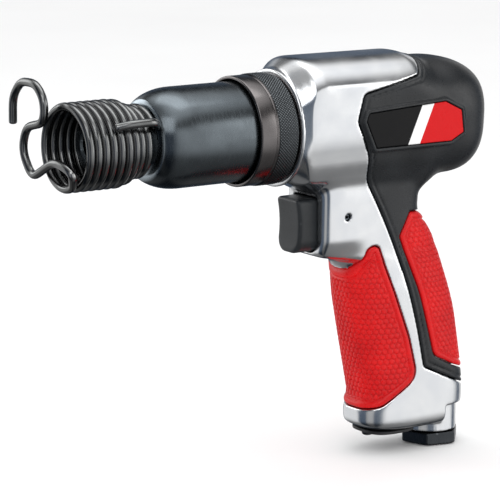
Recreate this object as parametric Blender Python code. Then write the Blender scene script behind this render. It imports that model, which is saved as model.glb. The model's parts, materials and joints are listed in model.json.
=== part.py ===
"""Pneumatic chipping hammer with a pistol handle, as separate solids.

Drawing: lengths are in millimetres, measured from the point where the barrel's axis crosses the front
face of the handle casting's flange. The chisel end points to -X, the trigger finger presses towards
+X, and +Z is up. add_object() writes the pieces to the scene in metres, with the scene's origin on the
underside of the plate under the foot.
"""
import math

import bmesh
import bpy
import numpy as np
from mathutils import Matrix, Vector

# Scene and fits
METRE = 0.001               # metres in a millimetre
GAP = 0.3                   # clearance between neighbouring pieces
SMOOTH_ANGLE = math.radians(35)
HAND_SECTION = 24           # points around a section of the handle
BODY_SECTION = 32           # points around a section of the body

# Handle casting
FLANGE_RADIUS = 23.6
FLANGE_THICKNESS = 1.6
BODY_HALF_WIDTH = 21.2
CAP_START = 74.0            # where the body's rounded back end begins
CAP_LENGTH = 26.7
CAP_SQUARE = 2.7            # how square the back end is, from 2 for round
CAP_MID_Z = -2.0            # height of the rearmost point
COVER_THICKNESS = 3.2
GRIP_THICKNESS = 2.4
FOOT_BOTTOM = -129.8
FOOT_STEP_X = 79.8          # the foot is cut away behind this, around the inlet boss
FOOT_STEP_Z = -122.2
PLATE_BOTTOM = -131.4       # underside of the plate under the foot
SCREW_X = 49.4
SOCKET_RADIUS = 16.3        # bore for the barrel and the valve
SOCKET_DEPTH = 46.0
SOCKET_SEAL_RADIUS = 18.7   # wider mouth of the socket, for the barrel's ring
SOCKET_SEAL_DEPTH = 2.6
AIR_WAY_RADIUS = 3.5        # drilled from the inlet up to the throttle
VALVE_WAY_RADIUS = 2.5      # drilled from the throttle up to the valve
PLATE_SCREW_RADIUS = 1.5
PLATE_SCREW_DEPTH = 7.0

# Barrel, piston and chisel shank
BARREL_RADIUS = 20.0
SPIGOT_RADIUS = 16.0
SPIGOT_END = 26.0
SEAT_RADIUS = 18.0          # the collar turns on this
BARREL_SHOULDER = -10.5
OGIVE_START = -46.0
OGIVE_LENGTH = 16.4
OGIVE_DROP = 9.6
NOSE_START = -59.6
NOSE_END = -84.0
NOSE_RADIUS = 11.0
PISTON_BORE = 9.5
PISTON_RADIUS = 9.2
PISTON_LENGTH = 28.0
BORE_FRONT = -50.0
DOWEL_Z = 13.6              # height of the pin that lines up the valve cases
SHANK_RADIUS = 5.1          # 10.2 mm chisel shank
PORT_X = -13.5              # exhaust ports

# Exhaust collar
COLLAR_FRONT = -18.1
COLLAR_BACK = -0.6
COLLAR_RADIUS = 22.1
KNURL_START = -10.4
KNURL_RADIUS = 22.5
COLLAR_BORE = 18.4
COLLAR_LIP_BORE = 20.9
COLLAR_LIP_DEPTH = -9.0     # the exhaust room reaches back to here

# Retaining spring
WIRE_RADIUS = 1.66
COIL_RADIUS = 15.85
SMALL_COIL_RADIUS = 13.1
COIL_PITCH = 3.42
COIL_TURNS = 9.78
SPRING_FRONT = -95.0
WIRE_SIDES = 6
STEPS_PER_TURN = 14

# Trigger and throttle
TRIGGER_FRONT = 8.4
TRIGGER_TOP = -29.3
TRIGGER_BOTTOM = -51.6
TRIGGER_HALF_WIDTH = 8.0
TRIGGER_TRAVEL = 4.0
TRIGGER_BACK = 21.0
THROTTLE_Z = -37.0
CHEST_RADIUS = 6.0
CHEST_END = 63.5
STEM_RADIUS = 4.0
STEM_END = 32.0
PIN_X = 28.5
PIN_RADIUS = 1.2
BUSH_FRONT = 36.6
BUSH_BACK = 48.0
BUSH_PORT_X = 45.0
VALVE_STEM_RADIUS = 1.6

# Air inlet
INLET_X = 81.8
BOSS_RADIUS = 11.0
BOSS_BOTTOM = -133.9
HEX_FLATS = 22.0
HEX_TURN = 49.0             # turn of the hexagon about its axis, in degrees
HEX_TOP = -134.5
HEX_BOTTOM = -139.4
INLET_BORE = 5.7            # thread core of a quarter-inch pipe thread
INLET_TOP = -118.0
INLET_NECK_RADIUS = 8.0
INLET_THREAD_TOP = -127.0
INLET_WAY_RADIUS = 4.0
INLET_SEAL_RADIUS = 9.2
INLET_SEAL_Z = -133.2

# Foot plate
PLATE_MIDDLE_X = 58.4
PLATE_FRONT_LENGTH = 12.4   # from the scene's origin to the plate's front edge
PLATE_BACK_LENGTH = 10.6    # leaves the corner of the inlet's hexagon clear
PLATE_HALF_WIDTH = 11.6
PLATE_HOLE_RADIUS = 1.9
SCREW_HEAD_RADIUS = 2.3
COUNTERBORE_RADIUS = 2.6    # the screw's head sits in this
COUNTERBORE_DEPTH = 0.6
SCENE_ORIGIN = Vector((PLATE_MIDDLE_X, 0.0, PLATE_BOTTOM))

# Edges of the body, drawn along x, as corners (x, distance from the axis, corner radius)
BODY_TOP = ((0, FLANGE_RADIUS, 0), (FLANGE_THICKNESS, FLANGE_RADIUS, 0), (8.5, 28, 6), (59, 27.5, 6),
            (69, 24, 8), (CAP_START, 24, 0))
BODY_BOTTOM = ((0, FLANGE_RADIUS, 0), (FLANGE_THICKNESS, FLANGE_RADIUS, 0), (3, 22.5, 1), (15, 27, 6),
               (50, 26.5, 0), (CAP_START, 24.6, 0))
BODY_SIDE = ((0, FLANGE_RADIUS, 0), (FLANGE_THICKNESS, FLANGE_RADIUS, 0), (3, 20.2, 0),
             (8, BODY_HALF_WIDTH, 2), (CAP_START, 22, 0))
BODY_LEVELS = (0, FLANGE_THICKNESS, 2.7, 4, 6, 9, 16, 34, 47, 58, 63, 68, CAP_START)
BODY_SQUARE_UP = ((0, 2.0), (3, 2.0), (12, 3.2), (60, 3.2), (CAP_START, 3.0))
BODY_SQUARE_DOWN = ((0, 2.0), (CAP_START, 2.6))
CAP_ANGLES = (22, 44, 62, 76, 86)

# Edges of the handle, drawn down z, as corners (z, x, corner radius), and its half width
HANDLE_FRONT = ((-8, 17.5, 0), (-53.5, 17.5, 3), (-56.5, 33.5, 7), (-74, 35.5, 40), (-114.5, 43.5, 5),
                (-121.5, 41.5, 4), (-127, 41.5, 3), (FOOT_BOTTOM, 45.5, 0))
HANDLE_BACK = ((-8, 73, 0), (-24, 73.5, 1), (-30, 67.6, 3), (-37.5, 67.6, 3), (-49, 77, 12), (-80, 88, 80),
               (-106, 92.3, 40), (-117, 93.5, 4), (-126, 93, 4), (FOOT_BOTTOM, 89, 0))
HANDLE_SIDE = ((-8, 14, 0), (-30, 15, 0), (-54, 14.5, 5), (-70, 15.5, 10), (-126, 15, 3),
               (FOOT_BOTTOM, 13.5, 0))
HANDLE_LEVELS = (-8, -20, -25, -29, -33, -38, -42, -47, -51, -53, -54.4, -55.6, -57.5, -60.5, -68, -76, -85,
                 -93, -101, -109, -116, -121, -125, -128, -129.2, FOOT_BOTTOM)
HANDLE_SQUARE = ((FOOT_BOTTOM, 3.0), (-56, 3.0), (-42, 4.5), (-29, 4.5), (-8, 4.0))

# Side outlines of the pieces that lie in the casting's skin, as corners (x, z, corner radius)
OUTSIDE = 130.0             # well outside the tool
COVER_CORNERS = ((68, 40, 0), (64, 24.5, 6), (59.5, 18.8, 1.5), (31.8, 13.2, 2.5), (29, 2.5, 3),
                 (35.5, -12, 8), (37, -21.5, 12), (59, -62, 225), (67.5, -103.5, 2.5), (85, -111.5, 0),
                 (112, -123.5, 0), (OUTSIDE, -60, 0), (OUTSIDE, 40, 0))
FRONT_GRIP_CORNERS = ((15, -63.5, 0), (34, -62.8, 5), (39.2, -50.8, 3), (43.6, -50.2, 2.6), (59, -90, 40),
                      (63.5, -107.5, 7), (48, -118.5, 8), (40, -120.5, 0), (15, -121, 0))
REAR_GRIP_CORNERS = ((60, -38, 0), (54.5, -47.5, 2), (65, -73, 90), (72.5, -99.5, 5), (84, -105, 0),
                     (112, -115, 0), (112, -52, 0), (66, -38.5, 4))
BADGE_CORNERS = ((35.6, -10.3, 2.5), (29.9, 2.5, 2.5), (31.6, 7.3, 2.5), (71.5, 9.5, 2.5), (81, 4.8, 2.5),
                 (82.4, -6.5, 2.5), (74.7, -10.4, 2.5))
BADGE_BORDER = 1.8          # raised rim of the pad around the badge
BADGE_OUTER_Y = 22.5
BADGE_THICKNESS = 0.8

# Wire bends of the retaining spring: the hook in front of the nose, as corners (y, z, bend radius), and the
# tang behind the coils, as corners (x, distance from the axis, bend radius)
HOOK_X = -98.6
HOOK_CORNERS = ((32.2, 6.5, 0), (32, 16.5, 8), (25.5, 23.3, 8), (13.5, 23.6, 9), (7.2, 17.5, 8), (8, 9, 4.5),
                (21.5, 6, 6.5), (25.5, -3.5, 8), (17.5, -13.5, 4.5), (0.5, -4.9, 12), (-9, -6.5, 0))
TANG_ANGLE = 153.0
TANG_CORNERS = ((-61.8, 15.4, 0), (-65, 22.6, 4.5), (-76, 22.2, 6), (-81.5, 19.7, 0))


# Shared modelling tools

def clear_scene():
    for obj in list(bpy.data.objects):
        bpy.data.objects.remove(obj, do_unlink=True)


def make_material(name, colour, roughness, metallic):
    material = bpy.data.materials.new(name)
    material.use_nodes = True
    shader = material.node_tree.nodes["Principled BSDF"]
    shader.inputs["Base Color"].default_value = (*colour, 1.0)
    shader.inputs["Roughness"].default_value = roughness
    shader.inputs["Metallic"].default_value = metallic
    return material


def add_object(name, bm, material=None):
    """Turn a drawing in millimetres into a scene object in metres, in the scene's frame."""
    bmesh.ops.recalc_face_normals(bm, faces=bm.faces)
    bmesh.ops.translate(bm, verts=bm.verts, vec=-SCENE_ORIGIN)
    bmesh.ops.scale(bm, verts=bm.verts, vec=(METRE, METRE, METRE))
    mesh = bpy.data.meshes.new(name)
    bm.to_mesh(mesh)
    bm.free()
    obj = bpy.data.objects.new(name, mesh)
    if material:
        mesh.materials.append(material)
    bpy.context.scene.collection.objects.link(obj)
    return obj


def put_origin(obj, point):
    """Move an object's own origin to a point of the drawing and leave its shape where it is."""
    place = (Vector(point) - SCENE_ORIGIN) * METRE
    obj.data.transform(Matrix.Translation(obj.location - place))
    obj.location = place
    return obj


def smooth(obj):
    obj.data.shade_smooth()
    obj.data.set_sharp_from_angle(angle=SMOOTH_ANGLE)
    return obj


def combine(target, tool, operation):
    """Join, cut or intersect target with tool, and take the tool away."""
    modifier = target.modifiers.new(operation.title(), "BOOLEAN")
    modifier.operation = operation
    modifier.solver = "EXACT"
    modifier.object = tool
    bpy.context.view_layer.update()
    graph = bpy.context.evaluated_depsgraph_get()
    mesh = bpy.data.meshes.new_from_object(target.evaluated_get(graph))
    target.modifiers.clear()
    target.data = mesh
    bpy.data.objects.remove(tool, do_unlink=True)
    return target


def cut(target, *tools):
    for tool in tools:
        combine(target, tool, "DIFFERENCE")
    return target


def loft(rings):
    """A closed skin through rings that all have the same number of points."""
    bm = bmesh.new()
    loops = [[bm.verts.new(point) for point in ring] for ring in rings]
    count = len(loops[0])
    for near, far in zip(loops, loops[1:]):
        for i in range(count):
            j = (i + 1) % count
            bm.faces.new((near[i], near[j], far[j], far[i]))
    bm.faces.new(loops[0])
    bm.faces.new(reversed(loops[-1]))
    return bm


def turned(profile, axis_point=(0.0, 0.0, 0.0), axis="X", segments=28):
    """Spin a closed profile of (distance along the axis, radius) points into a solid of revolution."""
    bm = bmesh.new()
    along = {"X": Vector((1, 0, 0)), "Z": Vector((0, 0, 1))}[axis]
    across = Vector((0, 1, 0))
    verts = [bm.verts.new(along * t + across * r) for t, r in profile]
    for i, vert in enumerate(verts):
        bm.edges.new((vert, verts[(i + 1) % len(verts)]))
    bmesh.ops.spin(bm, geom=bm.verts[:] + bm.edges[:], cent=(0, 0, 0), axis=along,
                   angle=math.tau, steps=segments, use_merge=True, use_duplicate=False)
    bmesh.ops.remove_doubles(bm, verts=bm.verts, dist=1e-4)
    for edge in [edge for edge in bm.edges if not edge.link_faces]:
        bm.edges.remove(edge)
    for face in [face for face in bm.faces if face.calc_area() < 1e-9]:
        bm.faces.remove(face)
    bmesh.ops.translate(bm, verts=bm.verts, vec=axis_point)
    return bm


def rod(start, end, radius, segments=20):
    """A plain round bar between two points."""
    start = Vector(start)
    end = Vector(end)
    bm = bmesh.new()
    turn = Vector((0, 0, 1)).rotation_difference(end - start).to_matrix().to_4x4()
    place = Matrix.Translation((start + end) / 2) @ turn
    bmesh.ops.create_cone(bm, cap_ends=True, segments=segments, radius1=radius, radius2=radius,
                          depth=(end - start).length, matrix=place)
    return bm


def box(low, high):
    bm = bmesh.new()
    low = Vector(low)
    high = Vector(high)
    bmesh.ops.create_cube(bm, size=1.0)
    bmesh.ops.scale(bm, verts=bm.verts, vec=high - low)
    bmesh.ops.translate(bm, verts=bm.verts, vec=(low + high) / 2)
    return bm


def side_prism(outline, low_y, high_y):
    """An (x, z) outline carried across from low_y to high_y."""
    return loft([[(x, y, z) for x, z in outline] for y in (low_y, high_y)])


def o_ring(radius, thickness, at, axis="X", segments=20):
    """A rubber ring with a round section, centred at a point."""
    ring = [(thickness * math.cos(math.tau * k / 6), radius + thickness * math.sin(math.tau * k / 6))
            for k in range(6)]
    return turned(ring, at, axis, segments)


def rounded(corners, closed=False, steps=4):
    """Points along straight lines through the corners (a, b, radius), each corner turned with an arc."""
    count = len(corners)
    points = []
    for i, (a, b, radius) in enumerate(corners):
        here = Vector((a, b))
        if radius == 0 or (not closed and i in (0, count - 1)):
            points.append(here)
            continue
        back = (Vector(corners[i - 1][:2]) - here).normalized()
        ahead = (Vector(corners[(i + 1) % count][:2]) - here).normalized()
        half = back.angle(ahead) / 2
        centre = here + (back + ahead).normalized() * (radius / math.sin(half))
        start = here + back * (radius / math.tan(half)) - centre
        end = here + ahead * (radius / math.tan(half)) - centre
        sweep = math.atan2(start.cross(end), start.dot(end))
        for step in range(steps + 1):
            turn = Matrix.Rotation(sweep * step / steps, 2)
            points.append(centre + turn @ start)
    return points


def reading(path, along):
    """Second coordinate of a path where its first one is along."""
    ordered = sorted((point[0], point[1]) for point in path)
    return float(np.interp(along, [point[0] for point in ordered], [point[1] for point in ordered]))


def grow(outline, distance):
    """Move every side of an outline outwards by a distance, keeping its corners sharp."""
    count = len(outline)
    area = sum(outline[i - 1][0] * outline[i][1] - outline[i][0] * outline[i - 1][1]
               for i in range(count))
    turn = math.copysign(1.0, area)
    grown = []
    for i in range(count):
        here = Vector(outline[i])
        back = (here - Vector(outline[i - 1])).normalized()
        ahead = (Vector(outline[(i + 1) % count]) - here).normalized()
        out_back = Vector((back.y, -back.x)) * turn
        out_ahead = Vector((ahead.y, -ahead.x)) * turn
        mitre = (out_back + out_ahead).normalized()
        grown.append(tuple(here + mitre * distance / max(mitre.dot(out_back), 0.4)))
    return grown


# Outer form of the tool

def power_curve(angle, power):
    """Point of a unit superellipse, from round (2) to square."""
    c = math.cos(angle)
    s = math.sin(angle)
    return (math.copysign(abs(c) ** (2 / power), c), math.copysign(abs(s) ** (2 / power), s))


def body_ring(x, half_width, top, bottom, power_up, power_down, mid=0.0):
    ring = []
    for k in range(BODY_SECTION):
        angle = math.tau * (k + 0.5) / BODY_SECTION
        upper = math.sin(angle) > 0
        y, z = power_curve(angle, power_up if upper else power_down)
        ring.append((x, y * half_width, mid + z * (top - mid if upper else bottom + mid)))
    return ring


def body_form(inset):
    """The body's skin, moved inwards by the inset."""
    side, top, bottom = (rounded(corners) for corners in (BODY_SIDE, BODY_TOP, BODY_BOTTOM))
    rings = []
    for x in BODY_LEVELS:
        up = reading(BODY_SQUARE_UP, x)
        down = reading(BODY_SQUARE_DOWN, x)
        half_width = reading(side, x) - inset
        rings.append(body_ring(x, half_width, reading(top, x) - inset, reading(bottom, x) - inset, up, down))
    for angle in CAP_ANGLES:
        shrink, reach = power_curve(math.radians(angle), CAP_SQUARE)
        rise = CAP_MID_Z * min(1.0, 3 * (1 - shrink))
        top_here = rise + (top[-1].y - inset - rise) * shrink
        bottom_here = -rise + (bottom[-1].y - inset + rise) * shrink
        x = CAP_START + (CAP_LENGTH - inset) * reach
        rings.append(body_ring(x, (side[-1].y - inset) * shrink, top_here, bottom_here, up, down, rise))
    return loft(rings)


def handle_form(inset):
    """The handle's skin, from inside the body down to the foot, moved inwards by the inset."""
    front, back, side = (rounded(corners) for corners in (HANDLE_FRONT, HANDLE_BACK, HANDLE_SIDE))
    rings = []
    for z in HANDLE_LEVELS:
        middle = (reading(front, z) + reading(back, z)) / 2
        reach = (reading(back, z) - reading(front, z)) / 2 - inset
        half_width = reading(side, z) - inset
        ring = []
        for k in range(HAND_SECTION):
            u, v = power_curve(math.tau * (k + 0.5) / HAND_SECTION, reading(HANDLE_SQUARE, z))
            ring.append((middle + u * reach, v * half_width, z))
        rings.append(ring)
    return loft(rings)


def outer_form(name, inset):
    form = add_object(name, body_form(inset))
    return combine(form, add_object("handle_skin", handle_form(inset)), "UNION")


def skin_pocket(outline, floor_inset):
    """What has to go from the casting so that a skin piece fits: its outline, down to a floor."""
    pocket = add_object("pocket", side_prism(grow(outline, GAP), -60.0, 60.0))
    return cut(pocket, outer_form("floor", floor_inset + GAP))


def skin_piece(name, outline, thickness, material):
    """The part of the outer form inside an outline, down to the given thickness."""
    piece = add_object(name, side_prism(outline, -60.0, 60.0), material)
    combine(piece, outer_form("skin", 0.0), "INTERSECT")
    return cut(piece, outer_form("floor", thickness))


# Handle casting and the pieces in its skin

def trigger_section(x, clearance=0.0):
    """Rounded section of the trigger head, wider radii at the bottom."""
    half = TRIGGER_HALF_WIDTH + clearance
    corners = ((half, TRIGGER_BOTTOM - clearance, 6.0, -90), (half, TRIGGER_TOP + clearance, 2.0, 0),
               (-half, TRIGGER_TOP + clearance, 2.0, 90), (-half, TRIGGER_BOTTOM - clearance, 6.0, 180))
    ring = []
    for y, z, radius, start in corners:
        mid_y = y - math.copysign(radius, y)
        mid_z = z + (radius if z < THROTTLE_Z else -radius)
        for step in range(4):
            angle = math.radians(start + 30 * step)
            ring.append((x, mid_y + radius * math.cos(angle), mid_z + radius * math.sin(angle)))
    return ring


def handle_housing(material):
    housing = outer_form("handle_housing", 0.0)
    housing.data.materials.append(material)
    cut(housing, add_object("step", box((FOOT_STEP_X, -30, -140), (110, 30, FOOT_STEP_Z))))
    boss = add_object("boss", rod((INLET_X, 0, -112), (INLET_X, 0, BOSS_BOTTOM), BOSS_RADIUS, 28))
    combine(housing, boss, "UNION")
    cut(housing, skin_pocket(rounded(COVER_CORNERS, True), COVER_THICKNESS))
    cut(housing, skin_pocket(rounded(FRONT_GRIP_CORNERS, True), GRIP_THICKNESS))
    socket = ((-5.0, 0.0), (-5.0, SOCKET_SEAL_RADIUS), (SOCKET_SEAL_DEPTH, SOCKET_SEAL_RADIUS),
              (SOCKET_SEAL_DEPTH, SOCKET_RADIUS), (SOCKET_DEPTH, SOCKET_RADIUS), (SOCKET_DEPTH, 0.0))
    slot = loft([trigger_section(x, 0.5) for x in (4.0, TRIGGER_BACK + TRIGGER_TRAVEL + 0.5)])
    chest = rod((20, 0, THROTTLE_Z), (CHEST_END, 0, THROTTLE_Z), CHEST_RADIUS, 24)
    valve_way = rod((BUSH_PORT_X, 0, THROTTLE_Z), (BUSH_PORT_X, 0, -8), VALVE_WAY_RADIUS, 12)
    pin_hole = rod((PIN_X, -30, THROTTLE_Z), (PIN_X, 30, THROTTLE_Z), PIN_RADIUS + GAP, 12)
    air_way = rod((INLET_X - 0.6, 0, INLET_TOP + 2.5), (CHEST_END - CHEST_RADIUS, 0, THROTTLE_Z - 1),
                  AIR_WAY_RADIUS, 12)
    inlet_bore = rod((INLET_X, 0, -150), (INLET_X, 0, INLET_TOP + 0.5), INLET_NECK_RADIUS + GAP, 24)
    seal_seat = rod((INLET_X, 0, -150), (INLET_X, 0, INLET_SEAL_Z + 1.1), INLET_SEAL_RADIUS + 1, 24)
    screw_hole = rod((SCREW_X, 0, -140), (SCREW_X, 0, FOOT_BOTTOM + PLATE_SCREW_DEPTH + 1),
                     PLATE_SCREW_RADIUS + GAP, 12)
    cut(housing,
        add_object("socket", turned(socket, segments=36)),
        add_object("trigger_slot", slot),
        add_object("throttle_chest", chest),
        add_object("valve_way", valve_way),
        add_object("pin_hole", pin_hole),
        add_object("air_way", air_way),
        add_object("inlet_bore", inlet_bore),
        add_object("seal_seat", seal_seat),
        add_object("screw_hole", screw_hole))
    return smooth(housing)


def rear_cover(material):
    cover = skin_piece("rear_cover", rounded(COVER_CORNERS, True), COVER_THICKNESS, material)
    recess_floor = BADGE_OUTER_Y - BADGE_THICKNESS - GAP
    for side in (-1, 1):
        pad = side_prism(rounded(BADGE_CORNERS, True), side * 20.2, side * (BADGE_OUTER_Y + 0.3))
        combine(cover, add_object("pad", pad), "UNION")
        recess = side_prism(grow(badge_outline(), GAP), side * recess_floor, side * 30)
        cut(cover, add_object("recess", recess))
    cut(cover, add_object("grip_window", side_prism(grow(rounded(REAR_GRIP_CORNERS, True), GAP), -60, 60)))
    return smooth(cover)


def badge_outline():
    return grow(rounded(BADGE_CORNERS, True), -BADGE_BORDER)


def badge(name, side, material):
    plate = side_prism(badge_outline(), side * (BADGE_OUTER_Y - BADGE_THICKNESS), side * BADGE_OUTER_Y)
    return smooth(add_object(name, plate, material))


def end_plate(material):
    """Thin plate under the foot, with a counterbored hole for its screw."""
    ring = []
    for k in range(24):
        u, v = power_curve(math.tau * (k + 0.5) / 24, 3.0)
        length = PLATE_BACK_LENGTH if u > 0 else PLATE_FRONT_LENGTH
        ring.append((PLATE_MIDDLE_X + u * length, v * PLATE_HALF_WIDTH))
    plate = loft([[(x, y, z) for x, y in ring] for z in (FOOT_BOTTOM - GAP, PLATE_BOTTOM)])
    plate = add_object("end_plate", plate, material)
    cut(plate, add_object("hole", rod((SCREW_X, 0, -140), (SCREW_X, 0, -120), PLATE_HOLE_RADIUS, 16)))
    floor = PLATE_BOTTOM + COUNTERBORE_DEPTH
    counterbore = rod((SCREW_X, 0, -140), (SCREW_X, 0, floor), COUNTERBORE_RADIUS, 16)
    return cut(plate, add_object("counterbore", counterbore))


def end_plate_screw(material):
    under = PLATE_BOTTOM + COUNTERBORE_DEPTH - GAP
    tip = FOOT_BOTTOM + PLATE_SCREW_DEPTH
    profile = ((under - 2.0, 0.0), (under - 2.0, 1.6), (under - 1.4, SCREW_HEAD_RADIUS),
               (under, SCREW_HEAD_RADIUS), (under, PLATE_SCREW_RADIUS), (tip, PLATE_SCREW_RADIUS), (tip, 0.0))
    return smooth(add_object("end_plate_screw", turned(profile, (SCREW_X, 0, 0), "Z", 12), material))


# Barrel and what is in it

def barrel(material):
    profile = [(SPIGOT_END, PISTON_BORE), (SPIGOT_END, SPIGOT_RADIUS), (-0.3, SPIGOT_RADIUS),
               (-0.3, SEAT_RADIUS), (-2.6, SEAT_RADIUS), (-2.6, SEAT_RADIUS - 1.1),
               (-5.0, SEAT_RADIUS - 1.1), (-5.0, SEAT_RADIUS), (BARREL_SHOULDER, SEAT_RADIUS),
               (BARREL_SHOULDER, BARREL_RADIUS), (OGIVE_START, BARREL_RADIUS)]
    ogive = 5
    for k in range(1, ogive + 1):
        turn = math.radians(56 * k / ogive)
        profile.append((OGIVE_START - OGIVE_LENGTH * math.sin(turn),
                        BARREL_RADIUS - OGIVE_DROP * (1 - math.cos(turn))))
    profile += [(NOSE_START, NOSE_RADIUS + 2.5), (NOSE_START, NOSE_RADIUS), (-71.0, NOSE_RADIUS),
                (-71.0, 10.4), (NOSE_END + 1.0, 10.4), (NOSE_END, 9.4), (NOSE_END, SHANK_RADIUS),
                (BORE_FRONT, SHANK_RADIUS), (BORE_FRONT, PISTON_BORE)]
    tube = add_object("barrel", turned(profile, segments=28), material)
    for k in range(4):
        angle = math.tau * (k + 0.5) / 4
        end = (PORT_X, 24 * math.cos(angle), 24 * math.sin(angle))
        cut(tube, add_object("port", rod((PORT_X, 0, 0), end, 2.0, 8)))
    cut(tube, dowel_hole())
    return smooth(tube)


def dowel_hole():
    """Cutter for the hole of the pin that lines up the barrel and both valve cases."""
    return add_object("dowel_hole", rod((20.0, 0, DOWEL_Z), (40.0, 0, DOWEL_Z), PIN_RADIUS + GAP, 12))


def piston(material):
    front = SPIGOT_END - 0.6 - PISTON_LENGTH
    back = SPIGOT_END - 0.6
    profile = ((front, 0.0), (front, 7.6), (front + 1.6, PISTON_RADIUS), (back - 1.0, PISTON_RADIUS),
               (back, 8.2), (back, 0.0))
    hammer = add_object("piston", turned(profile, segments=24), material)
    return smooth(put_origin(hammer, (back, 0.0, 0.0)))


def valve_case_front(material):
    profile = ((26.3, 6.0), (26.3, SPIGOT_RADIUS), (34.0, SPIGOT_RADIUS), (34.0, 11.5), (32.4, 11.5),
               (32.4, 6.0))
    case = add_object("valve_case_front", turned(profile, segments=24), material)
    return smooth(cut(case, dowel_hole()))


def valve_case_back(material):
    profile = ((34.3, SPIGOT_RADIUS), (43.0, SPIGOT_RADIUS), (43.0, 4.0), (35.2, 4.0), (35.2, 11.5),
               (34.3, 11.5))
    case = add_object("valve_case_back", turned(profile, segments=24), material)
    return smooth(cut(case, dowel_hole()))


def valve_disc(material):
    profile = ((32.7, 0.0), (32.7, 11.0), (34.1, 11.0), (34.1, 0.0))
    disc = add_object("valve_disc", turned(profile, segments=24), material)
    return smooth(put_origin(disc, (33.4, 0.0, 0.0)))


def exhaust_collar(material):
    """Ring that turns on the barrel and lets the exhaust out of its open front edge."""
    mid_step = (KNURL_RADIUS + COLLAR_RADIUS) / 2 - 0.5
    profile = ((COLLAR_FRONT, COLLAR_LIP_BORE), (COLLAR_FRONT, COLLAR_RADIUS - 0.5),
               (COLLAR_FRONT + 0.5, COLLAR_RADIUS), (KNURL_START - 0.8, COLLAR_RADIUS),
               (KNURL_START - 0.5, mid_step), (KNURL_START, mid_step), (KNURL_START + 0.3, KNURL_RADIUS),
               (COLLAR_BACK - 0.3, KNURL_RADIUS), (COLLAR_BACK, mid_step), (COLLAR_BACK, COLLAR_BORE),
               (COLLAR_LIP_DEPTH, COLLAR_BORE), (COLLAR_LIP_DEPTH, COLLAR_LIP_BORE))
    ring = add_object("exhaust_collar", turned(profile, segments=36), material)
    return smooth(put_origin(ring, (COLLAR_BACK, 0.0, 0.0)))


# Retaining spring

def coil_radius(turn):
    """Mean radius of the coils, which close in on the nose over the last three turns."""
    closing = max(0.0, min(1.0, (turn - (COIL_TURNS - 3.6)) / 2.4))
    return COIL_RADIUS + (SMALL_COIL_RADIUS - COIL_RADIUS) * closing * closing * (3 - 2 * closing)


def coil_point(turn):
    angle = math.radians(222) + math.tau * turn
    radius = coil_radius(turn)
    return Vector((SPRING_FRONT + COIL_PITCH * turn, radius * math.cos(angle), radius * math.sin(angle)))


def curve_through(points, steps):
    """Points on a smooth curve through the given ones."""
    points = [Vector(point) for point in points]
    ends = [points[0] * 2 - points[1]] + points + [points[-1] * 2 - points[-2]]
    path = []
    for a, b, c, d in zip(ends, ends[1:], ends[2:], ends[3:]):
        for k in range(steps):
            t = k / steps
            path.append(0.5 * (2 * b + (c - a) * t + (2 * a - 5 * b + 4 * c - d) * t * t
                               + (3 * b - a - 3 * c + d) * t ** 3))
    return path + [points[-1]]


def swept_wire(path, radius, sides):
    """A round wire along a path, turned as little as possible from point to point."""
    rings = []
    side = (path[1] - path[0]).orthogonal().normalized()
    for i, point in enumerate(path):
        ahead = (path[min(i + 1, len(path) - 1)] - path[max(i - 1, 0)]).normalized()
        side = (side - ahead * side.dot(ahead)).normalized()
        other = ahead.cross(side)
        rings.append([point + radius * (side * math.cos(math.tau * k / sides)
                                        + other * math.sin(math.tau * k / sides)) for k in range(sides)])
    return loft(rings)


def retaining_spring(material):
    hook = [Vector((HOOK_X, y, z)) for y, z in rounded(HOOK_CORNERS)]
    lead_in = curve_through([hook[-1], (HOOK_X + 0.4, -12.6, -8.4), coil_point(0.04)], 3)
    steps = int(STEPS_PER_TURN * COIL_TURNS)
    start = 0.06
    coils = [coil_point(start + (COIL_TURNS - start) * k / steps) for k in range(steps + 1)]
    out = Vector((0, math.cos(math.radians(TANG_ANGLE)), math.sin(math.radians(TANG_ANGLE))))
    tang = [coils[-1]] + [Vector((x, 0, 0)) + out * radius for x, radius in rounded(TANG_CORNERS)]
    path = hook[:-1] + lead_in[:-1] + coils + tang[1:]
    return smooth(add_object("retaining_spring", swept_wire(path, WIRE_RADIUS, WIRE_SIDES), material))


# Trigger and throttle

def trigger(material):
    """Thumb-wide button with a slotted stem. It slides along its stem's axis."""
    head = loft([trigger_section(x) for x in (TRIGGER_FRONT, TRIGGER_BACK)])
    head = add_object("trigger", head, material)
    hollow_radius = 46.0
    hollow_x = TRIGGER_FRONT + 1.2 - hollow_radius
    cut(head, add_object("finger", rod((hollow_x, -20, -40), (hollow_x, 20, -40), hollow_radius, 96)))
    stem = rod((TRIGGER_BACK - 2, 0, THROTTLE_Z), (STEM_END, 0, THROTTLE_Z), STEM_RADIUS, 16)
    combine(head, add_object("stem", stem), "UNION")
    half = PIN_RADIUS + GAP
    slot = box((PIN_X - TRIGGER_TRAVEL - half, -10, THROTTLE_Z - half), (PIN_X + half, 10, THROTTLE_Z + half))
    cut(head, add_object("slot", slot))
    return smooth(put_origin(head, (TRIGGER_BACK, 0.0, THROTTLE_Z)))


def trigger_pin(material):
    pin = rod((PIN_X, -14.3, THROTTLE_Z), (PIN_X, 14.3, THROTTLE_Z), PIN_RADIUS, 12)
    return smooth(add_object("trigger_pin", pin, material))


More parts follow.
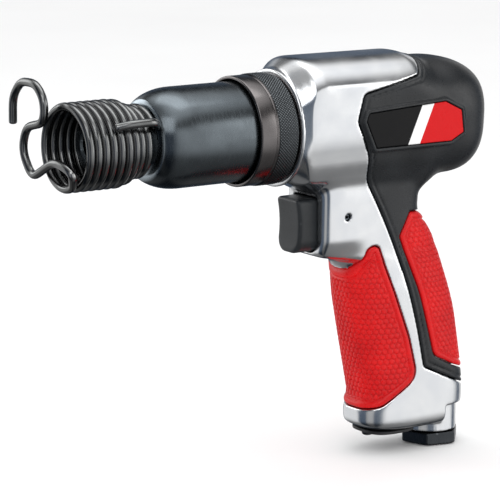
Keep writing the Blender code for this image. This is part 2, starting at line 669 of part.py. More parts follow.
def throttle_bush(material):
    profile = ((BUSH_FRONT, 3.2), (BUSH_FRONT, 5.7), (39.2, 5.7), (39.2, 4.3), (41.4, 4.3), (41.4, 5.7),
               (BUSH_BACK, 5.7), (BUSH_BACK, 3.4), (42.4, 3.4), (42.4, 1.9), (38.6, 1.9), (38.6, 3.2))
    bush = add_object("throttle_bush", turned(profile, (0, 0, THROTTLE_Z), segments=20), material)
    port = rod((BUSH_PORT_X, 0, THROTTLE_Z), (BUSH_PORT_X, 0, THROTTLE_Z + 10), 1.8, 10)
    return smooth(cut(bush, add_object("port", port)))


def throttle_valve(material):
    stem = VALVE_STEM_RADIUS
    profile = ((STEM_END + GAP, 0.0), (STEM_END + GAP, stem), (49.6, stem), (49.6, 4.7), (51.6, 4.7),
               (51.6, 2.4), (54.0, 2.4), (54.0, 0.0))
    valve = add_object("throttle_valve", turned(profile, (0, 0, THROTTLE_Z), segments=16), material)
    return smooth(put_origin(valve, (49.6, 0.0, THROTTLE_Z)))


def throttle_valve_seal(material):
    profile = ((48.3, 1.9), (48.3, 4.7), (49.3, 4.7), (49.3, 1.9))
    seal = add_object("throttle_valve_seal", turned(profile, (0, 0, THROTTLE_Z), segments=16), material)
    return smooth(put_origin(seal, (48.3, 0.0, THROTTLE_Z)))


def throttle_spring(material):
    wire = 0.45
    turns = 5
    front = 51.9 + wire
    back = CHEST_END - GAP - wire
    path = []
    for k in range(turns * 10 + 1):
        angle = math.tau * k / 10
        x = front + (back - front) * k / (turns * 10)
        path.append(Vector((x, 3.6 * math.cos(angle), THROTTLE_Z + 3.6 * math.sin(angle))))
    return smooth(add_object("throttle_spring", swept_wire(path, wire, 5), material))


# Air inlet

def air_inlet_bush(material):
    """Hexagon with a threaded neck that goes up into the boss, bored for the hose fitting."""
    profile = ((HEX_BOTTOM + 1, INLET_BORE), (HEX_BOTTOM + 1, INLET_NECK_RADIUS),
               (INLET_TOP, INLET_NECK_RADIUS), (INLET_TOP, INLET_WAY_RADIUS),
               (INLET_THREAD_TOP, INLET_WAY_RADIUS), (INLET_THREAD_TOP, INLET_BORE))
    bush = add_object("air_inlet_bush", turned(profile, (INLET_X, 0, 0), "Z", 24), material)
    corner = HEX_FLATS / math.sqrt(3)
    rings = []
    for z, reach in ((HEX_BOTTOM, corner - 1.2), (HEX_BOTTOM + 1.2, corner), (HEX_TOP, corner)):
        rings.append([(INLET_X + reach * math.cos(math.radians(60 * k + HEX_TURN)),
                       reach * math.sin(math.radians(60 * k + HEX_TURN)), z) for k in range(6)])
    hexagon = add_object("hexagon", loft(rings))
    cut(hexagon, add_object("core", rod((INLET_X, 0, -150), (INLET_X, 0, -130), INLET_BORE, 24)))
    combine(bush, hexagon, "UNION")
    bore = rod((INLET_X, 0, -150), (INLET_X, 0, INLET_THREAD_TOP), INLET_BORE + 0.01, 24)
    cut(bush, add_object("bore", bore))
    return smooth(bush)


def inlet_strainer(material):
    """Cup of wire mesh, shown as a thin thimble, open towards the hose."""
    profile = ((-122.0, 0.0), (-122.0, 3.5), (-126.6, 3.5), (-126.6, 2.9), (-122.7, 2.9), (-122.7, 0.0))
    return smooth(add_object("inlet_strainer", turned(profile, (INLET_X, 0, 0), "Z", 16), material))


def build():
    clear_scene()
    aluminium = make_material("polished_aluminium", (0.78, 0.79, 0.80), 0.22, 1.0)
    black_steel = make_material("black_steel", (0.025, 0.027, 0.03), 0.28, 0.9)
    spring_steel = make_material("oiled_spring_steel", (0.05, 0.052, 0.056), 0.3, 0.9)
    bright_steel = make_material("bright_steel", (0.6, 0.6, 0.6), 0.3, 1.0)
    grey_rubber = make_material("grey_moulding", (0.06, 0.062, 0.067), 0.6, 0.0)
    red_rubber = make_material("red_grip", (0.62, 0.02, 0.02), 0.5, 0.0)
    black_plastic = make_material("black_plastic", (0.045, 0.046, 0.05), 0.45, 0.0)
    label = make_material("label", (0.7, 0.7, 0.7), 0.35, 0.0)
    brass = make_material("brass", (0.7, 0.5, 0.2), 0.3, 1.0)
    seal = make_material("seal_rubber", (0.02, 0.02, 0.02), 0.6, 0.0)

    handle_housing(aluminium)
    rear_cover(grey_rubber)
    smooth(skin_piece("front_grip", rounded(FRONT_GRIP_CORNERS, True), GRIP_THICKNESS, red_rubber))
    smooth(skin_piece("rear_grip", rounded(REAR_GRIP_CORNERS, True), COVER_THICKNESS, red_rubber))
    badge("badge_left", -1, label)
    badge("badge_right", 1, label)
    end_plate(black_plastic)
    end_plate_screw(black_steel)

    barrel(black_steel)
    piston(bright_steel)
    valve_case_front(bright_steel)
    valve_case_back(bright_steel)
    valve_disc(bright_steel)
    dowel = rod((21.0, 0, DOWEL_Z), (39.0, 0, DOWEL_Z), PIN_RADIUS, 12)
    smooth(add_object("valve_dowel_pin", dowel, bright_steel))
    exhaust_collar(black_steel)
    retaining_spring(spring_steel)
    smooth(add_object("barrel_o_ring", o_ring(17.3, 0.9, (1.3, 0, 0)), seal))
    smooth(add_object("collar_o_ring", o_ring(17.7, 0.6, (-3.8, 0, 0)), seal))

    trigger(black_plastic)
    trigger_pin(bright_steel)
    throttle_bush(brass)
    throttle_valve(bright_steel)
    throttle_valve_seal(seal)
    throttle_spring(spring_steel)
    smooth(add_object("throttle_bush_o_ring", o_ring(5.1, 0.65, (40.3, 0, THROTTLE_Z), segments=16), seal))
    smooth(add_object("throttle_stem_o_ring", o_ring(2.5, 0.5, (37.6, 0, THROTTLE_Z), segments=16), seal))

    air_inlet_bush(black_steel)
    inlet_ring = o_ring(INLET_SEAL_RADIUS, 0.7, (INLET_X, 0, INLET_SEAL_Z), "Z", 20)
    smooth(add_object("inlet_o_ring", inlet_ring, seal))
    inlet_strainer(brass)


build()
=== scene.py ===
"""Looks of the pneumatic chipping hammer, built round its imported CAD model.

Lengths are in millimetres in the tool's own drawing frame: x runs back along the barrel's axis from the
front face of the casting's flange, y to the right of the user, and z up from the axis. DRAWING is that
frame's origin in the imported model. The casting, cover, grips, badges, trigger, inlet, plate and screw are
surfaces of distance fields. The barrel and collar are turned, and the springs are swept wires.
"""
import json
import math

import bpy
import numpy as np
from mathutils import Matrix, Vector


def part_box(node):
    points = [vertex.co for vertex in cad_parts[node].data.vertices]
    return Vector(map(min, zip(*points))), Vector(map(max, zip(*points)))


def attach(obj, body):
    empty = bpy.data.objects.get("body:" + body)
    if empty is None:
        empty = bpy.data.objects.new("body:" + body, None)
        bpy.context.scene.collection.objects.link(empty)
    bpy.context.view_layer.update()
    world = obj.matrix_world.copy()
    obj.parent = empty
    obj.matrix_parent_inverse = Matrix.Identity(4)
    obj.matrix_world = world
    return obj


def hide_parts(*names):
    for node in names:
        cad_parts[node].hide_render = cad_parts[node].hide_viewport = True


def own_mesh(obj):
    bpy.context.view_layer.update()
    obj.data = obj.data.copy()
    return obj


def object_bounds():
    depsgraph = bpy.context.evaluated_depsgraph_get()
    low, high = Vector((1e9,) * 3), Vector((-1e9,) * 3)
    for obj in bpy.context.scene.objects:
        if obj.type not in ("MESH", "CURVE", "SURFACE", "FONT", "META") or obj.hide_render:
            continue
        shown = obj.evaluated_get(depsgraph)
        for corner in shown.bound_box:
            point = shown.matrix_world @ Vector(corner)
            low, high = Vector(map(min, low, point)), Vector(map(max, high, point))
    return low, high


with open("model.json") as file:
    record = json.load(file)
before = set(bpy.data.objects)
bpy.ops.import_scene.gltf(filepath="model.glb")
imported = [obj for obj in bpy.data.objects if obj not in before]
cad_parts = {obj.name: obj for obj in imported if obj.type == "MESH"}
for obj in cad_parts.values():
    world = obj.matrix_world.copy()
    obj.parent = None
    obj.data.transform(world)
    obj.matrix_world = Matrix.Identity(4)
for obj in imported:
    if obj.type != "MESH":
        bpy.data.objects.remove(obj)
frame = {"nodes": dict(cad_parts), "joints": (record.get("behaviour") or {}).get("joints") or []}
cad_low, cad_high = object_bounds()

MM = 0.001
COARSE = 1.0

HOUSING_LOW, HOUSING_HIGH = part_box("handle_housing")
BARREL_LOW, BARREL_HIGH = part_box("barrel")
DRAWING = Vector((HOUSING_LOW.x, 0.0, (BARREL_LOW.z + BARREL_HIGH.z) / 2))


def node_box(node):
    """A CAD node's lowest and highest corners in the drawing frame."""
    return [(corner - DRAWING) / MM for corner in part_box(node)]


# Driving dimensions, read from the frame where a node states them
GAP = 0.3                   # room round fitted pieces
SEAM = 0.5                  # open joint round the cover and the grips
FULL_DEPTH = 150.0          # deeper than the handle, for cuts that come from below

BARREL_RADIUS = (BARREL_HIGH.z - BARREL_LOW.z) / 2 / MM
NOSE_END = node_box("barrel")[0].x
SPIGOT_END = node_box("barrel")[1].x
SPIGOT_RADIUS = 16.0        # the barrel's part inside the casting
SEAT_RADIUS = 18.0          # the collar turns on it
SEAT_GROOVE = 1.1           # depth of the groove for the collar's ring
SHOULDER_X = -10.5          # the seat ends here
TAPER_START = -46.0
TAPER_ANGLE = math.radians(56.0)
NOSE_START = -59.6
NOSE_RADIUS = 11.0
THREAD_START = -71.0
THREAD_RADIUS = 10.4
THREAD_DEPTH = 0.5
THREAD_PITCH = 1.4
THREAD_TURNS = 8
SHANK_RADIUS = 5.1
PISTON_BORE = 9.5
PISTON_BORE_END = -50.0

COLLAR_FRONT = node_box("exhaust_collar")[0].x
COLLAR_BACK = node_box("exhaust_collar")[1].x
KNURL_RADIUS = node_box("exhaust_collar")[1].z
COLLAR_RADIUS = KNURL_RADIUS - 0.4
COLLAR_LIP = 20.9           # inner radius in front, where the air comes out
COLLAR_BORE = 18.4
COLLAR_STEP = -9.0          # the lip's room ends here
KNURL_START = -10.4
KNURL_DIAMONDS = 112
KNURL_DEPTH = 0.34

TRIGGER_FRONT = node_box("trigger")[0].x
STEM_END = node_box("trigger")[1].x
STEM_RADIUS = 4.0
TRIGGER_TOP = node_box("trigger")[1].z
TRIGGER_BOTTOM = node_box("trigger")[0].z
TRIGGER_HALF_WIDTH = node_box("trigger")[1].y
TRIGGER_BACK = 21.0
JOINTS = {joint["name"]: joint for joint in frame["joints"]}
TRIGGER_TRAVEL = JOINTS["trigger_slide"]["range_m"][1] / MM
PIN_LOW, PIN_HIGH = node_box("trigger_pin")
PIN_X = (PIN_LOW.x + PIN_HIGH.x) / 2
PIN_RADIUS = (PIN_HIGH.x - PIN_LOW.x) / 2
THROTTLE_Z = (PIN_LOW.z + PIN_HIGH.z) / 2
THROTTLE_RADIUS = 6.0
THROTTLE_END = 63.5

PLATE_LOW, PLATE_HIGH = node_box("end_plate")
SCREW_LOW, SCREW_HIGH = node_box("end_plate_screw")
SCREW_X = (SCREW_LOW.x + SCREW_HIGH.x) / 2
SCREW_RADIUS = 1.5
SCREW_HEAD_RADIUS = 2.3
SCREW_KEY = 1.0             # half the key's width, and its depth
BUSH_LOW, BUSH_HIGH = node_box("air_inlet_bush")
NECK_LOW, NECK_HIGH = node_box("inlet_strainer")
INLET_X = (NECK_LOW.x + NECK_HIGH.x) / 2
INLET_BORE = 5.7
INLET_BORE_TOP = -127.0
INLET_THREAD_PITCH = 1.34
INLET_NECK = 8.0
BOSS_RADIUS = 11.0
BOSS_BOTTOM = node_box("handle_housing")[0].z
HEX_TOP = -134.5
HEX_BOTTOM = BUSH_LOW.z
HEX_FLATS = 22.0
HEX_TURN = math.radians(49.0)
FOOT_BOTTOM = PLATE_HIGH.z + GAP
FOOT_STEP_X = 79.8          # the foot's back is cut away behind and below this corner
FOOT_STEP_Z = -122.2

FLANGE_RADIUS = 23.6
FLANGE_THICKNESS = 1.6
BLOCK_START = 0.8
BODY_HALF_WIDTH = 22.8
BODY_FLAT = 21.2            # half the distance between the flat sides
NECK_PINCH = 3.0            # the round neck is this much slimmer on each side
NECK = (2.0, 8.5)           # from round to squared
CAP_START = 74.0            # the rear cover's round end
CAP_LENGTH = node_box("rear_cover")[1].x - CAP_START
CAP_MID_Z = -2.0
CAP_SQUARE = 2.7
SOCKET_RADIUS = 16.3
SOCKET_DEPTH = 46.0
SOCKET_MOUTH_RADIUS = 18.7
SOCKET_MOUTH_DEPTH = 2.6
COVER_THICKNESS = 3.2
GRIP_THICKNESS = 2.4
COVER_PROUD = 0.3
GRIP_PROUD = 0.35
BADGE_LOW, BADGE_HIGH = node_box("badge_left")
BADGE_OUTER_Y = -BADGE_LOW.y
BADGE_THICKNESS = BADGE_HIGH.y - BADGE_LOW.y
BADGE_BORDER = 1.8
BADGE_SLANT = 0.45

# Edges along the body (x, distance from the axis, corner radius) and down the handle (z, x, corner radius)
BODY_TOP = ((0, 22.5, 0), (2, 23.6, 1), (9, 28.1, 7), (59, 27.6, 6), (69, 24.2, 8), (CAP_START, 24, 0),
            (110, 24, 0))
BODY_BOTTOM = ((0, 21, 0), (4, 21.5, 1), (15, 27, 6), (50, 26.5, 0), (CAP_START, 24.6, 0), (110, 24.6, 0))
HANDLE_FRONT = ((0, 17.5, 0), (-53.5, 17.5, 3), (-56.5, 33.5, 7), (-74, 35.5, 40), (-114.5, 43.5, 5),
                (-121.5, 41.5, 4), (-127, 41.5, 3), (FOOT_BOTTOM, 45.5, 0), (-140, 46, 0))
HANDLE_BACK = ((0, 73, 0), (-24, 73.5, 1), (-30, 67.6, 3), (-37.5, 67.6, 3), (-49, 77, 12), (-80, 88, 80),
               (-106, 92.3, 40), (-117, 93.5, 4), (-126, 93, 4), (FOOT_BOTTOM, 89, 0), (-140, 88.5, 0))

# Half the handle's width (z, y, corner radius), and the body's lower facets between corners (y, z)
HANDLE_SIDE = ((0, 14.5, 0), (-30, 15, 0), (-54, 14.5, 5), (-70, 15.5, 10), (-126, 15, 3),
               (FOOT_BOTTOM, 13.5, 0), (-140, 13, 0))
LOWER_FACETS = ((BODY_FLAT, -4.5), (18.65, -16.0), (15.8, -21.6), (9.0, -26.6))

# Side outlines (x, z, corner radius)
OUTSIDE = 130.0
COVER_CORNERS = ((68, 40, 0), (64, 24.5, 6), (59.5, 18.8, 1.5), (31.8, 13.2, 2.5), (29, 2.5, 3),
                 (35.5, -12, 8), (37, -21.5, 12), (59, -62, 225), (67.5, -103.5, 2.5), (85, -111.5, 0),
                 (112, -123.5, 0), (OUTSIDE, -60, 0), (OUTSIDE, 40, 0))
FRONT_GRIP_CORNERS = ((15, -63.5, 0), (34, -62.8, 5), (39.2, -50.8, 3), (43.6, -50.2, 2.6), (59, -90, 40),
                      (63.5, -107.5, 7), (48, -118.5, 8), (40, -120.5, 0), (15, -121, 0))
REAR_GRIP_CORNERS = ((60, -38, 0), (54.5, -47.5, 2), (65, -73, 90), (72.5, -99.5, 5), (84, -105, 0),
                     (112, -115, 0), (112, -52, 0), (66, -38.5, 4))
BADGE_CORNERS = ((35.6, -10.3, 2.5), (29.9, 2.5, 2.5), (31.6, 7.3, 2.5), (71.5, 9.5, 2.5), (81, 4.8, 2.5),
                 (82.4, -6.5, 2.5), (74.7, -10.4, 2.5))

# Honeycomb and border of the grips
SCALE_SIZE = 2.5
SCALE_DEPTH = 0.55
SKIN_POWER = 3              # squareness of the handle's section, for the honeycomb's layout
SKIN_HALF_LENGTH = 25.0
SKIN_HALF_WIDTH = 15.3

# Retaining spring: the coils, the hook (y, z, corner radius) and the tang (x, distance from the axis, radius)
WIRE_RADIUS = 1.66
COIL_RADIUS = 15.85
SMALL_COIL_RADIUS = 13.1
COIL_PITCH = 3.42
COIL_TURNS = 9.78
CLOSING_START = 3.6         # turns before the end at which the coils start to close
CLOSING_LENGTH = 2.4        # over this many turns
SPRING_FRONT = -95.0
COIL_START_ANGLE = math.radians(222)
HOOK_X = -98.6
HOOK_CORNERS = ((32.2, 6.5, 0), (32, 16.5, 8), (25.5, 23.3, 8), (13.5, 23.6, 9), (7.2, 17.5, 8), (8, 9, 4.5),
                (21.5, 6, 6.5), (25.5, -3.5, 8), (17.5, -13.5, 4.5), (0.5, -4.9, 12), (-9, -6.5, 0))
HOOK_LEAD = (HOOK_X + 0.4, -12.6, -8.4)
TANG_ANGLE = math.radians(153.0)
TANG_CORNERS = ((-61.8, 15.4, 0), (-65, 22.6, 4.5), (-76, 22.2, 6), (-81.5, 19.7, 0))
THROTTLE_WIRE_RADIUS = 0.45
THROTTLE_SPRING_TURNS = 5


# Outlines and edges

def rounded(corners, closed=False, steps=10):
    """Points along straight lines through the corners (a, b, radius), each corner turned with an arc."""
    count = len(corners)
    points = []
    for i, (a, b, radius) in enumerate(corners):
        here = np.array((a, b), float)
        if radius == 0 or (not closed and i in (0, count - 1)):
            points.append(here)
            continue
        back = np.array(corners[i - 1][:2], float) - here
        ahead = np.array(corners[(i + 1) % count][:2], float) - here
        back /= np.linalg.norm(back)
        ahead /= np.linalg.norm(ahead)
        half = math.acos(float(np.clip(back @ ahead, -1, 1))) / 2
        bisector = (back + ahead) / np.linalg.norm(back + ahead)
        centre = here + bisector * (radius / math.sin(half))
        start = here + back * (radius / math.tan(half)) - centre
        end = here + ahead * (radius / math.tan(half)) - centre
        sweep = math.atan2(start[0] * end[1] - start[1] * end[0], start @ end)
        for step in range(steps + 1):
            c = math.cos(sweep * step / steps)
            s = math.sin(sweep * step / steps)
            points.append(centre + np.array((start[0] * c - start[1] * s, start[0] * s + start[1] * c)))
    return np.array(points)


def edge_line(corners, at, blur=1.2):
    """An edge's distance at each place, softened over a short length so that no crease is left."""
    path = rounded(corners)
    path = path[np.argsort(path[:, 0], kind="stable")]
    soft = np.zeros(len(at))
    offsets = np.linspace(-blur, blur, 9)
    for offset in offsets:
        soft += np.interp(at + offset, path[:, 0], path[:, 1])
    return soft / len(offsets)


def outline_distance(points, x, z):
    """Signed distance from a closed outline at each x and z, negative inside."""
    shape = np.broadcast_shapes(x.shape, z.shape)
    best = np.full(shape, 1e9)
    inside = np.zeros(shape, bool)
    for (ax, az), (bx, bz) in zip(points, np.roll(points, -1, axis=0)):
        ex, ez = bx - ax, bz - az
        length = ex * ex + ez * ez
        if length < 1e-12:
            continue
        t = np.clip(((x - ax) * ex + (z - az) * ez) / length, 0, 1)
        best = np.minimum(best, (x - ax - t * ex) ** 2 + (z - az - t * ez) ** 2)
        if az != bz:
            crosses = (az > z) != (bz > z)
            inside ^= crosses & (x < ax + (z - az) * ex / ez)
    return np.where(inside, -1.0, 1.0) * np.sqrt(best)


# Distance fields

def both(a, b, radius):
    """Where both shapes are: their sharp meeting is rounded."""
    near = np.maximum(radius - np.abs(a - b), 0.0)
    return np.maximum(a, b) + near * near / (4 * radius)


def either(a, b, radius):
    return -both(-a, -b, radius)


def without(a, b, radius):
    return both(a, -b, radius)


def straight_step(low, high, value):
    """A straight rise from 0 to 1, a little rounded at both ends."""
    t = (value - low) / (high - low)
    return (np.hypot(t, 0.06) - np.hypot(t - 1, 0.06) + 1) / 2


def smooth_step(low, high, value):
    t = np.clip((value - low) / (high - low), 0, 1)
    return t * t * (3 - 2 * t)


class Grid:
    """A block of space in drawing millimetres, sampled evenly."""

    def __init__(self, low, high, step):
        self.step = step
        axes = [np.arange(a, b + step, step, dtype=np.float32) for a, b in zip(low, high)]
        self.low = np.array([axis[0] for axis in axes])
        self.axes = axes
        self.x = axes[0][:, None, None]
        self.y = axes[1][None, :, None]
        self.z = axes[2][None, None, :]

    def outline(self, points):
        """Distance from a closed side outline that runs straight through along y."""
        across, up = self.axes[0][:, None], self.axes[2][None, :]
        return outline_distance(points, across, up).astype(np.float32)[:, None, :]

    def rod(self, start, end, radius):
        """Distance from a round bar with rounded ends."""
        a = np.array(start, float)
        d = np.array(end, float) - a
        px, py, pz = self.x - a[0], self.y - a[1], self.z - a[2]
        t = np.clip((px * d[0] + py * d[1] + pz * d[2]) / (d @ d), 0, 1)
        return np.sqrt((px - t * d[0]) ** 2 + (py - t * d[1]) ** 2 + (pz - t * d[2]) ** 2) - radius

    def upright(self, x, low, high, radius):
        """Distance from a flat-ended bar along z."""
        return np.maximum(np.hypot(self.x - x, self.y) - radius, np.maximum(low - self.z, self.z - high))

    def lengthwise(self, low, high, radius, z=0.0):
        """Distance from a flat-ended bar along x."""
        return np.maximum(np.hypot(self.y, self.z - z) - radius, np.maximum(low - self.x, self.x - high))

    def even(self, values):
        """Turn a form that is zero on the skin into a distance near the skin."""
        gx, gy, gz = np.gradient(values, self.step)
        return values / np.maximum(np.sqrt(gx * gx + gy * gy + gz * gz), 1e-4)


def body_field(g):
    """The body: a soft hood over flat sides and faceted flanks, round at the back."""
    top, bottom = [edge_line(edge, g.axes[0]).astype(np.float32)[:, None, None]
                   for edge in (BODY_TOP, BODY_BOTTOM)]
    reach = np.maximum(g.x - CAP_START, 0) / CAP_LENGTH
    z = g.z - CAP_MID_Z * smooth_step(0.0, 0.9, reach)
    squared = straight_step(*NECK, g.x)
    half = BODY_HALF_WIDTH + 1.2 * smooth_step(-6, 8, g.z) * smooth_step(6, 14, g.x)
    half = half - 1.4 * smooth_step(50, CAP_START, g.x)
    half = half - NECK_PINCH * (1 - squared)
    height = np.where(z > 0, top, bottom)
    power = 2.0 + squared * np.where(z > 0, 0.55, 0.9 - 0.5 * smooth_step(50, CAP_START, g.x))
    section = (np.abs(g.y) / half) ** power + (np.abs(z) / height) ** power
    square = CAP_SQUARE + 0.3 * smooth_step(0.2, 0.8, z / height)
    form = g.even((section ** (square / power) + reach ** square) ** (1 / square) - 1)
    flat = BODY_FLAT + 0.8 * smooth_step(40, 70, g.x) - 2.4 * (1 - straight_step(2.4, 7.0, g.x))
    form = both(form, np.abs(g.y) - flat, 0.8)
    for (y0, z0), (y1, z1) in zip(LOWER_FACETS, LOWER_FACETS[1:]):
        length = math.hypot(y1 - y0, z1 - z0)
        ny, nz = (z0 - z1) / length, (y1 - y0) / length
        plane = (np.abs(g.y) - y0) * ny + (g.z - z0) * nz
        plane = plane - 2.0 * smooth_step(50, 72, g.x)
        form = both(form, plane, 0.8)
    return form


def handle_field(g):
    """The handle: square above the trigger, rounder towards the foot, slim behind the trigger's slot."""
    front, back, half = [edge_line(edge, g.axes[2], blur).astype(np.float32)[None, None, :]
                         for edge, blur in ((HANDLE_FRONT, 0.6), (HANDLE_BACK, 2.0), (HANDLE_SIDE, 2.0))]
    half = half - 3.0 * smooth_step(-45.5, -56, g.z) * (1 - smooth_step(29, 41, g.x))
    middle = (front + back) / 2
    power = 3.0 + np.where(g.x < middle, 6.0 * smooth_step(-58, -50, g.z), 1.2 * smooth_step(-50, -30, g.z))
    reach = (back - front) / 2
    section = (np.abs(g.x - middle) / reach) ** power + (np.abs(g.y) / half) ** power
    form = g.even(section ** (1 / power) - 1)
    form = both(form, g.z + 4.0, 0.5)
    return both(form, FOOT_BOTTOM - g.z, 3.0)


def skin_field(g):
    """The tool's outer skin: block, round neck, flange and handle."""
    block = both(body_field(g), BLOCK_START - g.x, 0.5)
    half = FLANGE_THICKNESS / 2
    flange = both(np.hypot(g.y, g.z) - FLANGE_RADIUS, np.abs(g.x - half) - half, 0.7)
    skin = either(block, flange, 1.4)
    return either(skin, handle_field(g), 3.2 + 5.0 * smooth_step(58, 68, g.x))


def pad_field(g):
    """The raised pad under the badge, with sloping sides."""
    outline = g.outline(rounded(BADGE_CORNERS, True))
    face = np.abs(g.y) - (BADGE_OUTER_Y + 0.35)
    slope = (outline + face) * math.sqrt(0.5) + 0.35
    pad = both(both(outline, face, 0.5), slope, 0.5)
    return both(pad, 19.0 - np.abs(g.y), 0.5)


def trigger_head_field(g, clearance=0.0):
    """The trigger's section in y and z: small corners at the top, a round foot."""
    half = TRIGGER_HALF_WIDTH + clearance
    middle = (TRIGGER_TOP + TRIGGER_BOTTOM) / 2
    tall = (TRIGGER_TOP - TRIGGER_BOTTOM) / 2 + clearance
    corner = np.where(g.z > middle, 2.0, 6.0)
    qy = np.abs(g.y) - half + corner
    qz = np.abs(g.z - middle) - tall + corner
    outside = np.hypot(np.maximum(qy, 0), np.maximum(qz, 0))
    return outside + np.minimum(np.maximum(qy, qz), 0) - corner


def hexagon_field(g):
    form = None
    for k in range(3):
        angle = HEX_TURN + math.pi / 6 + k * math.pi / 3
        side = np.abs((g.x - INLET_X) * math.cos(angle) + g.y * math.sin(angle)) - HEX_FLATS / 2
        form = side if form is None else both(form, side, 0.35)
    middle = (HEX_TOP + HEX_BOTTOM) / 2
    form = both(form, np.abs(g.z - middle) - (HEX_TOP - HEX_BOTTOM) / 2, 0.35)
    chamfer = (np.hypot(g.x - INLET_X, g.y) - 12.0 - (g.z - HEX_BOTTOM) * 1.3) * 0.61
    return both(form, chamfer, 0.35)


# Meshes

def mesh_object(name, verts, faces, material, node, body="hammer_body"):
    """A smooth-shaded piece from drawing millimetres that rides on a body and stands for a CAD node."""
    mesh = bpy.data.meshes.new(name)
    points = np.asarray(verts, float) * MM + np.array(DRAWING)
    if isinstance(faces, np.ndarray):
        mesh.vertices.add(len(points))
        mesh.vertices.foreach_set("co", points.astype(np.float32).ravel())
        mesh.loops.add(faces.size)
        mesh.loops.foreach_set("vertex_index", faces.astype(np.int32).ravel())
        mesh.polygons.add(len(faces))
        mesh.polygons.foreach_set("loop_start", np.arange(0, faces.size, faces.shape[1], dtype=np.int32))
        mesh.update(calc_edges=True)
    else:
        mesh.from_pydata([tuple(p) for p in points], [], faces)
    mesh.validate()
    mesh.shade_smooth()
    mesh.materials.append(material)
    piece = bpy.data.objects.new(name, mesh)
    bpy.context.scene.collection.objects.link(piece)
    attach(piece, body)
    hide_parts(node)
    return piece


def sample(g, values, points):
    """Values of a field between its grid points."""
    at = (points - g.low) / g.step
    base = np.clip(np.floor(at).astype(int), 0, np.array(values.shape) - 2)
    t = at - base
    out = 0.0
    for dx in (0, 1):
        for dy in (0, 1):
            for dz in (0, 1):
                weight = ((t[:, 0] if dx else 1 - t[:, 0]) * (t[:, 1] if dy else 1 - t[:, 1])
                          * (t[:, 2] if dz else 1 - t[:, 2]))
                out = out + weight * values[base[:, 0] + dx, base[:, 1] + dy, base[:, 2] + dz]
    return out


def slopes(g, values, points):
    """Direction in which a field grows fastest, at each point."""
    reach = g.step * 0.6
    parts = []
    for axis in range(3):
        shift = np.zeros(3)
        shift[axis] = reach
        parts.append(sample(g, values, points + shift) - sample(g, values, points - shift))
    return np.stack(parts, 1) / (2 * reach)


def surface(g, values, settle=3):
    """Quads round the places where a field changes sign. Points go to a form's edges where it has any."""
    inside = values < 0
    shape = np.array(values.shape)
    cells = shape - 1
    total = int(np.prod(cells))
    counts = np.zeros(total, np.int32)
    sums = np.zeros((12, total))
    quads = []
    for axis in range(3):
        low = [slice(None)] * 3
        high = [slice(None)] * 3
        low[axis] = slice(0, -1)
        high[axis] = slice(1, None)
        a_in = inside[tuple(low)]
        at = np.argwhere(a_in != inside[tuple(high)])
        others = [k for k in range(3) if k != axis]
        at = at[np.all((at[:, others] > 0) & (at[:, others] < shape[others] - 1), axis=1)]
        va = values[tuple(low)][tuple(at.T)]
        vb = values[tuple(high)][tuple(at.T)]
        place = at.astype(float)
        place[:, axis] += va / (va - vb)
        place = place * g.step + g.low
        way = slopes(g, values, place)
        way /= np.maximum(np.linalg.norm(way, axis=1), 1e-6)[:, None]
        along = (way * place).sum(1)
        terms = [place[:, 0], place[:, 1], place[:, 2]]
        terms += [way[:, i] * way[:, j] for i, j in ((0, 0), (0, 1), (0, 2), (1, 1), (1, 2), (2, 2))]
        terms += [way[:, k] * along for k in range(3)]
        ring = []
        for du, dv in ((0, 0), (1, 0), (1, 1), (0, 1)):
            cell = at.copy()
            cell[:, others[0]] -= 1 - du
            cell[:, others[1]] -= 1 - dv
            flat = np.ravel_multi_index(cell.T, cells)
            ring.append(flat)
            counts += np.bincount(flat, minlength=total).astype(np.int32)
            for row, term in zip(sums, terms):
                row += np.bincount(flat, weights=term, minlength=total)
        quad = np.stack(ring, 1)
        flip = a_in[tuple(at.T)] == (axis == 1)
        quad[flip] = quad[flip][:, ::-1]
        quads.append(quad)
    used = np.flatnonzero(counts)
    new_index = np.full(total, -1, np.int64)
    new_index[used] = np.arange(len(used))
    faces = new_index[np.concatenate(quads)]
    share = sums[:, used] / counts[used]
    middle = share[:3].T
    spread = np.empty((len(used), 3, 3))
    for row, (i, j) in zip(share[3:9], ((0, 0), (0, 1), (0, 2), (1, 1), (1, 2), (2, 2))):
        spread[:, i, j] = row
        spread[:, j, i] = row
    pull = share[9:].T - np.einsum("nij,nj->ni", spread, middle)
    shift = np.linalg.solve(spread + 0.03 * np.eye(3), pull[:, :, None])[:, :, 0]
    points = middle + np.clip(shift, -g.step, g.step)
    smooth = np.linalg.eigvalsh(spread)[:, 1] < 0.02
    start = points.copy()
    ends = np.concatenate([faces[:, [0, 1]], faces[:, [1, 2]], faces[:, [2, 3]], faces[:, [3, 0]]])
    for _ in range(settle):
        around = np.zeros_like(points)
        weight = np.zeros(len(points))
        for a, b in ((0, 1), (1, 0)):
            for k in range(3):
                around[:, k] += np.bincount(ends[:, a], weights=points[ends[:, b], k], minlength=len(points))
            weight += np.bincount(ends[:, a], minlength=len(points))
        moved = points * 0.5 + around / weight[:, None] * 0.5
        slope = slopes(g, values, moved)
        steep = np.maximum((slope ** 2).sum(1), 0.05)
        moved -= np.clip(slope * (sample(g, values, moved) / steep)[:, None], -g.step, g.step)
        moved = np.clip(moved, start - g.step, start + g.step)
        points = np.where(smooth[:, None], moved, points)
    return points, faces


def biggest(points, faces):
    """Drop any crumb that isn't joined to the main surface."""
    label = np.arange(len(points))
    while True:
        low = label[faces].min(1)
        new = label.copy()
        for k in range(4):
            np.minimum.at(new, faces[:, k], low)
        new = new[new]
        if np.array_equal(new, label):
            break
        label = new
    keep = np.bincount(label).argmax()
    faces = faces[label[faces[:, 0]] == keep]
    used, flat = np.unique(faces, return_inverse=True)
    return points[used], flat.reshape(faces.shape)


